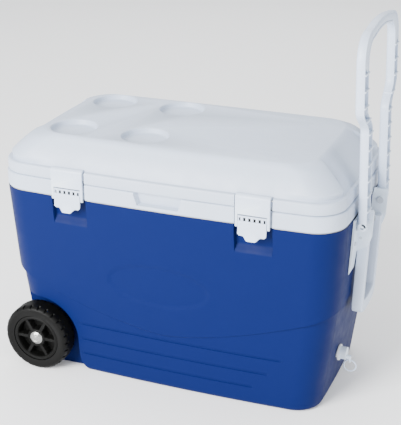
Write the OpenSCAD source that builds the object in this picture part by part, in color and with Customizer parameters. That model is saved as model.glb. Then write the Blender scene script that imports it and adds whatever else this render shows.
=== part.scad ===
// Wheeled cooler box: insulated tub and lid, two front latches, a fold-up tow handle,
// two hanging carry handles, two wheels on one axle and a drain plug.
// X runs along the box, with the tow handle at +X and the wheels at -X. Y runs to the
// hinges at the back, and Z is up. The origin is the middle of the tub's flat bottom.

/* [Tub] */
// Length at the rim
rim_len = 689; // [600:1:840]
// Width at the rim, front to back
rim_wid = 377; // [340:1:460]
// Height of the coloured tub, from the floor to the collar
tub_h = 388; // [330:1:470]
// Radius of the rim's corners in plan
corner_r = 59; // [45:1:70]
// How far the front bows out along the rim
front_bow = 11; // [4:1:16]
// How far the back bows out along the rim
back_bow = 3; // [0:1:8]
// How far each end bows out
end_bow = 5; // [2:1:10]
// How far the end walls draw in from the rim to the floor
end_draft = 39; // [25:1:50]
// How far the front and back walls draw in from the rim to the floor
side_draft = 28; // [18:1:36]
// Thickness of the tub's outer skin
skin = 3; // [2:0.5:4]
// Height of the lowest point of the wave across the front
wave_low = 122; // [110:1:140]
// How far the wave climbs towards the ends
wave_rise = 80; // [60:1:95]
// How far the skin above the wave stands out
wave_step = 4; // [2:0.5:6]
// Depth of the three long grooves
groove_depth = 2; // [1:0.5:2.5]

/* [Liner] */
// Distance from the rim to the mouth of the liner
rim_margin = 40; // [36:1:50]
// Thickness of the liner
liner_wall = 2.5; // [2:0.5:4]
// Height of the liner's floor
floor_z = 38; // [34:1:60]
// How far the liner's ends draw in to its floor
liner_end_draft = 46; // [44:1:60]
// How far the liner's sides draw in to its floor
liner_side_draft = 30; // [28:1:40]

/* [Collar and lid] */
// Height of the collar that caps the tub
collar_h = 31.6; // [26:0.4:40]
// Height of the flange round the lid
flange_h = 23.4; // [18:0.4:30]
// Height of the lid's top above its flange
crown_h = 54; // [40:1:70]
// Gap between the closed lid and the collar
lid_gap = 0.8; // [0.6:0.1:1.5]
// How far the lid's ends stay inside the collar's ends
lid_end_inset = 2.7; // [2.5:0.1:5]
// Distance from the rim's ends to the lid's flat top
crown_end_inset = 63; // [50:1:80]
// Distance from the rim's front and back to the lid's flat top
crown_side_inset = 41.5; // [34:0.5:50]
// Thickness of the lid's skin
lid_skin = 3; // [2:0.5:4]
// How far the lid's plug reaches into the tub
plug_depth = 12; // [8:1:18]
// Diameter of the cup recesses
cup_d = 90; // [70:1:94]
// Depth of the cup recesses
cup_depth = 11; // [6:1:16]
// Distance between the cups along the box
cup_dx = 150.7; // [120:0.1:170]
// Distance between the cups across the box
cup_dy = 182.9; // [150:0.1:186]
// How far the middle of the cups is from the lid's middle
cup_offset = 141.4; // [130:0.1:150]

/* [Latches] */
// Distance of each latch from the middle
latch_x = 184.5; // [150:0.5:210]
// Width of a latch plate
latch_w = 65; // [50:1:76]
// Length of a latch plate below its pin
latch_drop = 55; // [50:1:60]
// Thickness of the latch plates and levers
latch_t = 4; // [3:0.5:5]
// Diameter of the latch pins
latch_pin_d = 3; // [2:0.5:4]

/* [Wheels] */
// Wheel diameter
wheel_d = 140; // [120:1:150]
// Wheel width
wheel_w = 46; // [36:1:50]
// Distance of the axle from the end of the rim
axle_inset = 69.5; // [62.5:0.5:79.5]
// Distance of each wheel's outer face from the middle
wheel_face = 190.8; // [185:0.2:200]
// Axle diameter
axle_d = 10; // [8:0.5:12]

/* [Handles] */
// Height of the tow handle above its pivot
tow_h = 366; // [300:1:369]
// Distance between the outer faces of the tow handle's upper arms
tow_wid = 262; // [240:1:280]
// Distance between the outer faces of its lower arms
tow_low_wid = 183; // [176:1:200]
// Width of a tow arm
tow_arm_w = 30; // [26:1:32]
// Depth of a tow arm
tow_arm_d = 17; // [14:1:20]
// Lean of the upright tow handle towards the lid, in degrees
tow_lean = 1.8; // [1:0.1:1.9]
// Diameter of the tow handle's pins
tow_pin_d = 8; // [6:0.5:9]
// Length of a carry handle below its pivot
grip_drop = 168; // [140:1:180]
// Diameter of the carry handles' pins
grip_pin_d = 6; // [4:0.5:8]

/* [Drain] */
// Distance of the drain from the middle of the end, towards the front
drain_y = 45; // [30:1:60]
// Height of the drain
drain_z = 86; // [70:1:100]
// Diameter of the drain's bore
drain_d = 16; // [12:1:20]

/* [Hidden] */
$fn = 64;

blue = [0.10, 0.26, 0.62];
white = [0.88, 0.91, 0.95];
steel = [0.75, 0.76, 0.74];
black = [0.09, 0.09, 0.09];
rubber = [0.25, 0.25, 0.26];
foam = [0.95, 0.90, 0.72];

play = 0.05;        // radial clearance of a pin in its bore
seat = 0.2;         // clearance between nested pieces that don't move
gap = 0.5;          // clearance between pieces that move
eps = 0.5;          // overshoot of a cut

a_rim = rim_len / 2;
b_rim = rim_wid / 2;
axle_x = a_rim - axle_inset;             // the axle's distance from the middle
rim_z = tub_h + collar_h;
flange_z = rim_z + lid_gap;
flange_top = rim_z + flange_h + lid_gap;
crown_z = flange_top + crown_h;

// ---- plan outlines and drafted solids ----

function arc(c, r, from, to, n = 8) =
    [for (i = [0:n]) let (t = from + (to - from) * i / n) [c.x + r * cos(t), c.y + r * sin(t)]];

// Plan outline with rounded corners and gently bowed sides
function rim_outline(a, b, r, fb = front_bow, bb = back_bow, eb = end_bow) =
    let (x = a - r, y = b - r,
         tf = atan(2 * fb * x / (a * a)), tb = atan(2 * bb * x / (a * a)),
         te = atan(2 * eb * y / (b * b)),
         xc = x - eb * pow(y / b, 2),
         yf = y - fb * pow(x / a, 2), yb = y - bb * pow(x / a, 2))
    concat(
        [for (i = [-6:6]) let (u = x * i / 7) [u, -b + fb * pow(u / a, 2)]],
        arc([xc, -yf], r, tf - 90, -te),
        [for (i = [-2:2]) let (u = y * i / 3) [a - eb * pow(u / b, 2), u]],
        arc([xc, yb], r, te, 90 - tb),
        [for (i = [6:-1:-6]) let (u = x * i / 7) [u, b - bb * pow(u / a, 2)]],
        arc([-xc, yb], r, 90 + tb, 180 - te),
        [for (i = [2:-1:-2]) let (u = y * i / 3) [-a + eb * pow(u / b, 2), u]],
        arc([-xc, -yf], r, 180 + te, 270 - tf));

module plan(a, b, r = corner_r) {
    polygon(rim_outline(a, b, r));
}

module slab(z0, z1, a, b, r = corner_r) {
    translate([0, 0, z0]) linear_extrude(height = z1 - z0) plan(a, b, r);
}

// Solid through several rings of the rim's outline; a level is [height, half-length, half-width]
module loft(levels, r = corner_r) {
    outline = rim_outline(a_rim, b_rim, r);
    n = len(outline);
    last = (len(levels) - 1) * n;
    points = [for (l = levels, p = outline) [p.x * l[1] / a_rim, p.y * l[2] / b_rim, l[0]]];
    sides = [for (k = [0:len(levels) - 2], i = [0:n - 1])
             let (low = k * n, high = low + n, j = (i + 1) % n)
             each [[low + i, high + i, high + j], [low + i, high + j, low + j]]];
    polyhedron(points, concat([[for (i = [0:n - 1]) i]], sides,
                              [[for (i = [n - 1:-1:0]) last + i]]));
}

function level(z, size) = [z, size.x, size.y];

// ---- shape of the tub ----

wave_top = wave_low + wave_rise + 24;                 // where the lower skin ends
upper_end_slope = 0.045;                              // draft of the skin above the wave
upper_side_slope = 0.072;
base_size = [a_rim - end_draft, b_rim - side_draft];

function upper_size(z) = [a_rim - upper_end_slope * (tub_h - z),
                          b_rim - upper_side_slope * (tub_h - z)];
function lower_size(z) = base_size + (upper_size(wave_top) - [wave_step, wave_step] - base_size)
                         * z / wave_top;
function wave_z(x) = wave_low + wave_rise * pow(abs(x) / (a_rim - 45), 1.5);

module wave_region() {
    reach = a_rim + 10;
    steps = 24;
    rotate([90, 0, 0])
        linear_extrude(height = 2 * rim_wid, center = true)
            polygon(concat(
                [for (i = [-steps:steps]) [reach * i / steps, wave_z(reach * i / steps)]],
                [[reach, tub_h + 20], [-reach, tub_h + 20]]));
}

bottom_round = 8;

module tub_body() {
    loft([level(0, base_size - [5, 5]), level(bottom_round, lower_size(bottom_round)),
          level(wave_top, lower_size(wave_top))]);
    intersection() {
        loft([level(wave_low - 10, upper_size(wave_low - 10)), level(tub_h, [a_rim, b_rim])]);
        wave_region();
    }
}

// Space inside the skin, less a clearance c
module tub_cavity(c = 0) {
    t = skin + c;
    loft([level(t, lower_size(bottom_round) - [t, t]), level(wave_top, lower_size(wave_top) - [t, t]),
          level(tub_h + eps, [a_rim - t, b_rim - t])]);
}

// ---- wheel wells, latch pockets and grooves ----

axle_z = wheel_d / 2;
well_r = wheel_d / 2 + 13;
well_in = wheel_face - wheel_w - 6;       // inner wall of a well, from the middle
flare = [[0, 26], [15, 10], [22, -1]];    // the well's lower front edge leans away

module well_side(grow) {
    r = well_r + grow;
    polygon(concat(
        [[-axle_x - 120, axle_z + r], [-axle_x - 120, -1]],
        [for (i = [len(flare) - 1:-1:0]) [-axle_x + r + flare[i].x, flare[i].y]],
        arc([-axle_x, axle_z], r, 0, 90, 20)));
}

module wells(grow = 0) {
    for (side = [-1, 1])
        translate([0, side * (well_in - grow), 0])
            mirror([0, side > 0 ? 0 : 1, 0])
                translate([0, 100, 0]) rotate([90, 0, 0])
                    linear_extrude(height = 100) well_side(grow);
}

pocket_w = 71;
pocket_depth = 10;
pocket_floor = tub_h - 41;       // where the ledge starts to slope out
pocket_foot = tub_h - 57;        // where it meets the skin

function front_y(z, x) = -(upper_size(z).y - front_bow * pow(x / a_rim, 2));

module pockets(grow = 0) {
    for (x = [-latch_x, latch_x])
        translate([x - pocket_w / 2 - grow, 0, 0]) rotate([90, 0, 90])
            linear_extrude(height = pocket_w + 2 * grow)
                polygon([
                    [front_y(tub_h, x) - 20, tub_h + 1],
                    [front_y(tub_h, x) + pocket_depth + grow, tub_h + 1],
                    [front_y(pocket_floor, x) + pocket_depth + grow, pocket_floor - grow],
                    [front_y(pocket_foot, x) - 1, pocket_foot - grow - 1],
                    [front_y(pocket_foot, x) - 20, pocket_foot - grow - 1]]);
}

groove_h = 4;
groove_rows = [[0.283, -186, 239], [0.193, -188, 212], [0.106, -186, 182]];

module grooves() {
    for (row = groove_rows) {
        z = row[0] * tub_h;
        size = lower_size(z) - [groove_depth, groove_depth];
        difference() {
            translate([row[1], -rim_wid, z - groove_h / 2])
                cube([row[2] - row[1], rim_wid, groove_h]);
            loft([level(z - groove_h, size), level(z + groove_h, size)]);
        }
    }
}

// ---- liner ----

mouth_size = [a_rim - rim_margin, b_rim - rim_margin];
liner_r = corner_r - 14;
liner_low = mouth_size - [liner_end_draft, liner_side_draft];

module liner_solid(grow, z0, z1) {
    low = liner_low + [grow, grow];
    high = mouth_size + [grow, grow];
    loft([level(z0, low), level(tub_h, high), level(z1, high)], liner_r);
}

// ---- drain ----

drain_shoulder_r = drain_d / 2 + 3;
drain_wall_x = lower_size(drain_z).x;      // where the drain leaves the end wall
drain_inner_x = liner_low.x + liner_end_draft * (drain_z - floor_z) / (tub_h - floor_z);
drain_seat_x = drain_wall_x + 2.5;         // flat face round the drain, outside
drain_inner_seat = drain_inner_x - 4;      // flat face round it, inside
drain_pad_r = drain_shoulder_r + 7;

module along_x(x0, x1, r) {
    translate([x0, -drain_y, drain_z]) rotate([0, 90, 0]) cylinder(h = x1 - x0, r = r);
}

module drain_hole() {
    along_x(drain_inner_x - 30, drain_wall_x + 20, drain_shoulder_r + seat);
}

// ---- axle ----

module across(x, z, y0, y1, r) {
    translate([x, y1, z]) rotate([90, 0, 0]) cylinder(h = y1 - y0, r = r);
}

sleeve_r = axle_d / 2 + 3;

module axle_line(r) {
    across(-axle_x, axle_z, -well_in - 5, well_in + 5, r);
}

// ---- brackets, pins and screws on the ends ----

tow_pivot = [a_rim + 15, tub_h - 14];
grip_pivot = [a_rim + 7, tub_h - 47];
cheek_t = 6;
cheek_y = tow_low_wid / 2 - tow_arm_w - 0.8 - cheek_t;     // inner face of a bracket's cheek
bracket_y = [cheek_y, tow_low_wid / 2 + 1];
leg_drop = 110;
screw_d = 4;
screw_rows = [tub_h - 22, tub_h - 52];
screw_col = bracket_y[1] - 13;
plate_t = 4;

function end_x(z) = upper_size(z).x - end_bow * 0.06;

module bracket_side() {
    z0 = tub_h - leg_drop;
    polygon([[end_x(z0), z0], [end_x(z0) + 1.2, z0], [end_x(z0 + 40) + plate_t, z0 + 40],
             [end_x(tub_h - 2) + plate_t, tub_h - 2], [end_x(tub_h - 2), tub_h - 2]]);
}

module cheek_side() {
    polygon([[end_x(tub_h - 77), tub_h - 77], [a_rim + 21, tub_h - 62],
             [a_rim + 27, tub_h - 44], [a_rim + 29, tub_h + 7], [a_rim + 26, tub_h + 9],
             [a_rim + 2.4, tub_h + 9], [a_rim + 1.2, tub_h + 2], [end_x(tub_h), tub_h - 2]]);
}

module y_prism(y0, y1) {
    translate([0, y1, 0]) rotate([90, 0, 0]) linear_extrude(height = y1 - y0) children();
}

module screw_shanks(r) {
    for (z = screw_rows)
        translate([end_x(z) - skin - 4, screw_col, z])
            rotate([0, 90, 0]) cylinder(h = 14, r = r);
}

// A bracket at the rear of the right end, seated in the tub's wall
module bracket(tow) {
    difference() {
        union() {
            y_prism(bracket_y[0], bracket_y[1]) bracket_side();
            y_prism(bracket_y[0], bracket_y[0] + cheek_t) cheek_side();
        }
        across(grip_pivot.x, grip_pivot.y, cheek_y - 1, cheek_y + cheek_t + 3,
               grip_pin_d / 2 + play);
        if (tow)
            across(tow_pivot.x, tow_pivot.y, cheek_y - 1, cheek_y + cheek_t + 1,
                   tow_pin_d / 2 + play);
        screw_shanks(screw_d / 2 + play);
    }
}

module screw_set() {
    for (z = screw_rows)
        translate([0, screw_col, z]) rotate([0, 90, 0]) {
            translate([0, 0, end_x(z) - skin + 0.5])
                cylinder(h = skin + plate_t, r = screw_d / 2);
            difference() {
                translate([0, 0, end_x(z) + plate_t + seat]) cylinder(h = 1.8, r = 4);
                translate([-3, -0.5, end_x(z) + plate_t + 1.2]) cube([6, 1, 2]);
            }
        }
}

module at_each_corner() {
    for (x = [0, 1], y = [0, 1]) mirror([x, 0, 0]) mirror([0, y, 0]) children();
}

module tow_pin() {
    across(tow_pivot.x, tow_pivot.y, cheek_y, tow_low_wid / 2 - 4, tow_pin_d / 2);
    across(tow_pivot.x, tow_pivot.y, cheek_y - 2.5, cheek_y - seat, 6.5);
    across(tow_pivot.x, tow_pivot.y, cheek_y - seat - eps, cheek_y + eps, tow_pin_d / 2);
}

grip_arm_w = 14;
grip_y = cheek_y - 0.7;               // outer face of a carry handle's arm

module grip_pin() {
    across(grip_pivot.x, grip_pivot.y, grip_y - grip_arm_w - 0.3, cheek_y + cheek_t,
           grip_pin_d / 2);
    across(grip_pivot.x, grip_pivot.y, grip_y - grip_arm_w - 3, grip_y - grip_arm_w - 0.3, 5.5);
}

// ---- hinges ----

hinge_x = 200;
hinge_w = 60;
hinge_t = 3;
knuckle_r = 5;
hinge_pin_d = 4;
hinge_back = b_rim - back_bow * pow((hinge_x - hinge_w / 2) / a_rim, 2) + 0.3;
hinge_axis = [hinge_back + 6, rim_z + lid_gap / 2];
knuckle_cuts = [0.3, 0.7];                  // where the middle knuckle starts and ends

module x_cylinder(x0, x1, y, z, r) {
    translate([x0, y, z]) rotate([0, 90, 0]) cylinder(h = x1 - x0, r = r);
}

module hinge_knuckle(x0, x1, toward) {
    x_cylinder(x0, x1, hinge_axis.x, hinge_axis.y, knuckle_r);
    translate([x0, hinge_back, toward > 0 ? hinge_axis.y : hinge_axis.y - 8])
        cube([x1 - x0, hinge_t + 1, 8]);
}

module hinge_screw_spots(z) {
    for (u = [0.22, 0.78])
        translate([hinge_x + (u - 0.5) * hinge_w, 0, z]) rotate([-90, 0, 0]) children();
}

base_screw_z = rim_z - 17;
flap_screw_z = rim_z + 16.5;

module hinge_base() {
    x0 = hinge_x - hinge_w / 2;
    difference() {
        union() {
            translate([x0, hinge_back, rim_z - 27]) cube([hinge_w, hinge_t, 21]);
            hinge_knuckle(x0, x0 + knuckle_cuts[0] * hinge_w - 0.3, -1);
            hinge_knuckle(x0 + knuckle_cuts[1] * hinge_w + 0.3, x0 + hinge_w, -1);
        }
        x_cylinder(x0 - 1, x0 + hinge_w + 1, hinge_axis.x, hinge_axis.y, hinge_pin_d / 2 + play);
        hinge_screw_spots(base_screw_z)
            cylinder(h = hinge_back + 10, r = screw_d / 2 + play);
    }
}

module hinge_flap() {
    x0 = hinge_x - hinge_w / 2;
    difference() {
        union() {
            translate([x0, hinge_back, rim_z + 7]) cube([hinge_w, hinge_t, 15]);
            hinge_knuckle(x0 + knuckle_cuts[0] * hinge_w, x0 + knuckle_cuts[1] * hinge_w, 1);
        }
        x_cylinder(x0 - 1, x0 + hinge_w + 1, hinge_axis.x, hinge_axis.y, hinge_pin_d / 2 + play);
        hinge_screw_spots(flap_screw_z)
            cylinder(h = hinge_back + 10, r = screw_d / 2 + play);
    }
}

module hinge_screws(z) {
    hinge_screw_spots(z) {
        translate([0, 0, hinge_back - 3]) cylinder(h = 6.2, r = screw_d / 2);
        difference() {
            translate([0, 0, hinge_back + hinge_t]) cylinder(h = 1.6, r = 3.8);
            translate([-3, -0.5, hinge_back + hinge_t + 0.8]) cube([6, 1, 2]);
        }
    }
}

module hinge_screw_holes(z) {
    for (side = [0, 1]) mirror([side, 0, 0])
        hinge_screw_spots(z)
            translate([0, 0, hinge_back - 3.5]) cylinder(h = 10, r = screw_d / 2 + play);
}

// ---- latches ----

function rim_front(x) = -(b_rim - front_bow * pow(x / a_rim, 2));
latch_front = rim_front(latch_x);
notch_w = latch_w + 6;
notch_depth = 6;
hook_r = 8;
latch_pin = [latch_front + 3, flange_top - 4];
plate_y = latch_pin.x - hook_r;                     // outer face of a plate
slot_z = latch_pin.y - 30;
lever_w = latch_w - 11;
lever_pivot = [plate_y + latch_t / 2, slot_z - 4.5];
lever_drop = 36;
lip_w = 30;

module notches(z0, z1, grow = 0) {
    for (x = [-latch_x, latch_x])
        translate([x - notch_w / 2 - grow, latch_front - 20, z0])
            cube([notch_w + 2 * grow, 20 + notch_depth + grow, z1 - z0]);
}

// Room in the lid for a latch's barrel
module barrel_rooms(grow = 0) {
    for (x = [-latch_x, latch_x])
        x_cylinder(x - notch_w / 2 - grow, x + notch_w / 2 + grow, latch_pin.x, latch_pin.y,
                   hook_r + 1 + grow);
}

module latch_plate(x) {
    difference() {
        union() {
            x_cylinder(x - latch_w / 2, x + latch_w / 2, latch_pin.x, latch_pin.y, hook_r);
            translate([x - latch_w / 2, plate_y, slot_z])
                cube([latch_w, latch_t, latch_pin.y - slot_z]);
            for (side = [-1, 1])
                translate([x + side * (latch_w - 5) / 2 - 2.5, plate_y,
                           latch_pin.y - latch_drop])
                    cube([5, latch_t, latch_drop]);
        }
        x_cylinder(x - latch_w, x + latch_w, latch_pin.x, latch_pin.y, latch_pin_d / 2 + play);
        x_cylinder(x - latch_w / 2 + 1.5, x + latch_w / 2 - 1.5, lever_pivot.x, lever_pivot.y,
                   latch_pin_d / 2 + play);
        x_cylinder(x - lever_w / 2 - gap, x + lever_w / 2 + gap, lever_pivot.x, lever_pivot.y,
                   latch_t / 2 + 2);
    }
}

module latch_lever(x) {
    foot = lever_pivot.y - lever_drop;
    difference() {
        union() {
            x_cylinder(x - lever_w / 2, x + lever_w / 2, lever_pivot.x, lever_pivot.y,
                       latch_t / 2 + 0.6);
            translate([x - lever_w / 2, plate_y - 0.6, foot])
                cube([lever_w, latch_t, lever_drop]);
            translate([x - lip_w / 2, 0, 0]) rotate([90, 0, 90])
                linear_extrude(height = lip_w)
                    polygon([[plate_y - 0.6, foot + 7], [plate_y - 7, foot - 5],
                             [plate_y - 6, foot - 8], [plate_y - 4, foot - 8],
                             [plate_y + 1.5, foot], [plate_y + 1.5, foot + 7]]);
        }
        x_cylinder(x - latch_w, x + latch_w, lever_pivot.x, lever_pivot.y,
                   latch_pin_d / 2 + play);
    }
}

module latch_keeper(x) {
    y0 = latch_front + notch_depth;
    z = tub_h + 6;
    translate([x - 18, 0, 0]) rotate([90, 0, 90])
        linear_extrude(height = 36)
            polygon([[y0, z - 4], [y0, z + 4], [y0 - 1.5, z + 2], [y0 - 1.5, z - 2]]);
}

// ---- finger recess in the middle of the collar ----

recess_top = 98;
recess_bottom = 82;
recess_depth = 12;

module finger_recess(grow = 0) {
    translate([0, -b_rim + recess_depth + grow, 0]) rotate([90, 0, 0])
        linear_extrude(height = 40)
            polygon([[-recess_bottom / 2 - grow, tub_h + 8 - grow],
                     [recess_bottom / 2 + grow, tub_h + 8 - grow],
                     [recess_top / 2 + grow, rim_z + 1], [-recess_top / 2 - grow, rim_z + 1]]);
}

// ---- modules of the tub's pieces ----

module tub_shell() {
    color(blue) difference() {
        union() {
            tub_body();
            along_x(drain_wall_x - 4, drain_seat_x, drain_pad_r);
        }
        difference() {
            tub_cavity();
            wells(skin);
            pockets(skin);
        }
        wells();
        pockets();
        grooves();
        axle_line(axle_d / 2 + 0.3);
        drain_hole();
        at_each_corner() screw_shanks(screw_d / 2 + play);
    }
}

module tub_foam() {
    color(foam) difference() {
        union() {
            tub_cavity(seat);
            slab(tub_h, rim_z - 3 - seat, a_rim - 3 - seat, b_rim - 3 - seat);
        }
        liner_solid(liner_wall + seat, floor_z - liner_wall - seat, rim_z);
        wells(skin + seat);
        pockets(skin + seat);
        notches(tub_h - 1, rim_z, 3 + seat);
        finger_recess(3 + seat);
        axle_line(sleeve_r + seat);
        drain_hole();
        at_each_corner() screw_shanks(screw_d / 2 + 1);
        hinge_screw_holes(base_screw_z);
    }
}

module tub_liner() {
    color(white) difference() {
        union() {
            difference() {
                liner_solid(liner_wall, floor_z - liner_wall, rim_z - 3);
                liner_solid(0, floor_z, rim_z + 1);
            }
            along_x(drain_inner_seat, drain_inner_x + 0.5, drain_pad_r);
        }
        along_x(drain_inner_x - 20, drain_inner_x + 20, drain_shoulder_r + seat);
    }
}

module rim_collar() {
    color(white) difference() {
        union() {
            slab(tub_h, tub_h + 1.2, a_rim - 1.5, b_rim - 1.5);
            slab(tub_h + 1.2, rim_z, a_rim, b_rim);
        }
        loft([level(tub_h - 1, mouth_size), level(rim_z + 1, mouth_size)], liner_r);
        difference() {
            slab(tub_h - 1, rim_z - 3, a_rim - 3, b_rim - 3);
            notches(tub_h - 2, rim_z, 3);
            finger_recess(3);
        }
        notches(tub_h - 1, rim_z + 1);
        finger_recess();
        hinge_screw_holes(base_screw_z);
    }
}

module latch_keeper_left() { color(white) latch_keeper(-latch_x); }
module latch_keeper_right() { color(white) latch_keeper(latch_x); }
module hinge_base_right() { color(white) hinge_base(); }
module hinge_base_left() { color(white) mirror([1, 0, 0]) hinge_base(); }

module hinge_pin_right() {
    color(steel) x_cylinder(hinge_x - hinge_w / 2, hinge_x + hinge_w / 2,
                            hinge_axis.x, hinge_axis.y, hinge_pin_d / 2);
}

module hinge_pin_left() { mirror([1, 0, 0]) hinge_pin_right(); }

module hinge_base_screws() {
    color(steel) for (side = [0, 1]) mirror([side, 0, 0]) hinge_screws(base_screw_z);
}

module handle_bracket_rear() { color(white) bracket(true); }
module handle_bracket_front() { color(white) mirror([0, 1, 0]) bracket(true); }
module left_bracket_rear() { color(white) mirror([1, 0, 0]) bracket(false); }
module left_bracket_front() { color(white) mirror([0, 1, 0]) mirror([1, 0, 0]) bracket(false); }
module bracket_screws() { color(steel) at_each_corner() screw_set(); }
module tow_pin_rear() { color(steel) tow_pin(); }
module tow_pin_front() { color(steel) mirror([0, 1, 0]) tow_pin(); }

module right_grip_pins() {
    color(steel) for (side = [0, 1]) mirror([0, side, 0]) grip_pin();
}

module left_grip_pins() { mirror([1, 0, 0]) right_grip_pins(); }

// ---- axle and wheels ----

cap_r = 13.5;
cap_t = 5;
hub_face = wheel_face - 6;               // outer face of a hub's boss
hub_back = wheel_face - wheel_w;
hub_r = wheel_d / 2 - 20;
boss_r = 17;

module axle() {
    color(steel) across(-axle_x, axle_z, -hub_face - 3, hub_face + 3, axle_d / 2);
}

module axle_sleeve() {
    color(white) difference() {
        across(-axle_x, axle_z, -well_in + skin + seat, well_in - skin - seat, sleeve_r);
        axle_line(axle_d / 2 + play);
    }
}

module wheel_spacers() {
    color(steel) for (side = [0, 1]) mirror([0, side, 0]) difference() {
        across(-axle_x, axle_z, well_in + 0.3, hub_back - gap, 11);
        across(-axle_x, axle_z, -hub_face, hub_face, axle_d / 2 + play);
    }
}

// Push-on cap: a domed disc with a rim that grips the end of the axle
module axle_cap() {
    y0 = hub_face + gap;
    translate([-axle_x, y0, axle_z]) rotate([-90, 0, 0]) rotate_extrude()
        polygon([[axle_d / 2 + play, 0], [cap_r, 0], [cap_r, 2], [cap_r - 2, cap_t - 1.2],
                 [cap_r - 5, cap_t], [0, cap_t], [0, cap_t - 1.5],
                 [axle_d / 2 + play, cap_t - 1.5]]);
}

module axle_cap_rear() { color(steel) axle_cap(); }
module axle_cap_front() { color(steel) mirror([0, 1, 0]) axle_cap(); }

tread_blocks = 26;
tread_depth = 3;

module tyre() {
    r = wheel_d / 2;
    w = wheel_w;
    translate([-axle_x, hub_back, axle_z]) rotate([-90, 0, 0]) difference() {
        rotate_extrude($fn = 96)
            polygon([[hub_r, 2], [r - 9, 0], [r - 3, 3], [r, 9], [r, w - 9], [r - 3, w - 3],
                     [r - 9, w], [hub_r, w - 2]]);
        for (i = [0:tread_blocks - 1]) rotate(360 * i / tread_blocks)
            for (end = [-1, w - 13])
                translate([r - tread_depth, -2, end]) cube([10, 4, 14]);
    }
}

module hub() {
    ring = 8;
    web_z = 12;
    translate([-axle_x, hub_back, axle_z]) rotate([-90, 0, 0]) difference() {
        union() {
            difference() {
                cylinder(h = wheel_w - 3, r = hub_r - seat / 2);
                translate([0, 0, -1]) cylinder(h = wheel_w, r = hub_r - ring);
            }
            cylinder(h = hub_face - hub_back, r = boss_r);
            translate([0, 0, wheel_w - web_z - 14]) cylinder(h = 8, r = hub_r - ring / 2);
            for (i = [0:5]) rotate(60 * i)
                translate([boss_r - 2, -4, 4]) cube([hub_r - boss_r - 4, 8, wheel_w - 14]);
        }
        translate([0, 0, -1]) cylinder(h = wheel_w + 2, r = axle_d / 2 + play);
    }
}

module tyre_rear() { color(black) tyre(); }
module tyre_front() { color(black) mirror([0, 1, 0]) tyre(); }
module hub_rear() { color(black) hub(); }
module hub_front() { color(black) mirror([0, 1, 0]) hub(); }

// ---- drain ----

spout_in = drain_inner_seat - 8;
plug_r = drain_d / 2;
plug_face = drain_seat_x + 3;            // where the plug's head sits

module drain_spout() {
    color(white) difference() {
        union() {
            along_x(spout_in, plug_face - 0.5, drain_shoulder_r);
            along_x(drain_seat_x + 0.1, plug_face, drain_shoulder_r + 5);
        }
        along_x(spout_in - 1, plug_face + 1, drain_d / 2);
    }
}

module drain_seal() {
    color(rubber) difference() {
        along_x(drain_inner_seat - 2, drain_inner_seat - 0.1, drain_shoulder_r + 5);
        along_x(drain_inner_seat - 5, drain_inner_seat + 5, drain_shoulder_r + play);
    }
}

module drain_nut() {
    color(white) difference() {
        along_x(drain_inner_seat - 7.5, drain_inner_seat - 2.1, drain_shoulder_r + 4);
        along_x(drain_inner_seat - 10, drain_inner_seat + 5, drain_shoulder_r + play);
    }
}

plug_len = 22;
plug_head = 13;
ring_r = 12;
ring_pivot = [plug_face + plug_head + 7, drain_z - 13.5];   // x and z of the ring's top

module drain_plug() {
    color(white) difference() {
        union() {
            along_x(plug_face - plug_len, plug_face + 1, plug_r - 0.08);
            along_x(plug_face + 0.4, plug_face + plug_head, drain_shoulder_r + 1.5);
            translate([plug_face + plug_head - 1, -drain_y - 3, ring_pivot.y + 3])
                cube([9.5, 6, 6]);
            translate([ring_pivot.x - 1.5, -drain_y - 3, ring_pivot.y - 4])
                cube([3, 6, 13]);
        }
        along_x(plug_face - 12.2, plug_face - 9.8, plug_r + 1);
        translate([ring_pivot.x - 5, -drain_y, ring_pivot.y])
            rotate([0, 90, 0]) cylinder(h = 10, r = 1.9);
    }
    color(white) along_x(plug_face - 12.5, plug_face - 9.5, plug_r - 1.5);
}

module plug_seal() {
    color(rubber) difference() {
        along_x(plug_face - 12, plug_face - 10, plug_r - 0.12);
        along_x(plug_face - 13, plug_face - 9, plug_r - 1.5 + play);
    }
}

// the ring hangs edge-on to the plug, through the hole in its tab
module drain_ring() {
    color(white)
        translate([ring_pivot.x, -drain_y, ring_pivot.y - ring_r])
            rotate([90, 0, 0]) rotate_extrude() translate([ring_r, 0]) circle(1.5);
}

// ---- modules of the lid's pieces ----

lid_a = a_rim - lid_end_inset;
flange_lip = 7;                          // width of the flange's flat top
crown = [a_rim - crown_end_inset, b_rim - crown_side_inset];
crown_edge = 8;                          // height of the rounded edge of the flat top

// Outer form of the lid, drawn in by t all round
module lid_form(t, z0) {
    rim = [lid_a - t, b_rim - t];
    foot = rim - [flange_lip, flange_lip];
    top = crown - [t, t];
    loft([level(z0, rim), level(flange_top - 3 - t, rim), level(flange_top - t, rim - [3, 3]),
          level(flange_top + 0.6 - t, foot), level(crown_z - crown_edge - t, top + [7, 5]),
          level(crown_z - t, top)]);
}

module at_cups() {
    middle = (front_bow - back_bow) / 3;         // the lid's middle lies behind the axle line
    for (x = [-1, 1], y = [-1, 1])
        translate([-cup_offset + x * cup_dx / 2, middle + y * cup_dy / 2, 0]) children();
}

module cups(grow = 0) {
    at_cups() translate([0, 0, crown_z - cup_depth - grow])
        cylinder(h = cup_depth + grow + 10, r = cup_d / 2 + grow);
}

module lid_cavity(c) {
    difference() {
        lid_form(lid_skin + c, flange_z - 1);
        cups(lid_skin + c);
        notches(flange_z - 2, crown_z, lid_skin + c);
        barrel_rooms(lid_skin + c);
    }
}

module latch_pin_line(side, r) {
    x_cylinder(side * latch_x - notch_w / 2 - 2.5, side * latch_x + notch_w / 2 + 2.5,
               latch_pin.x, latch_pin.y, r);
}

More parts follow.
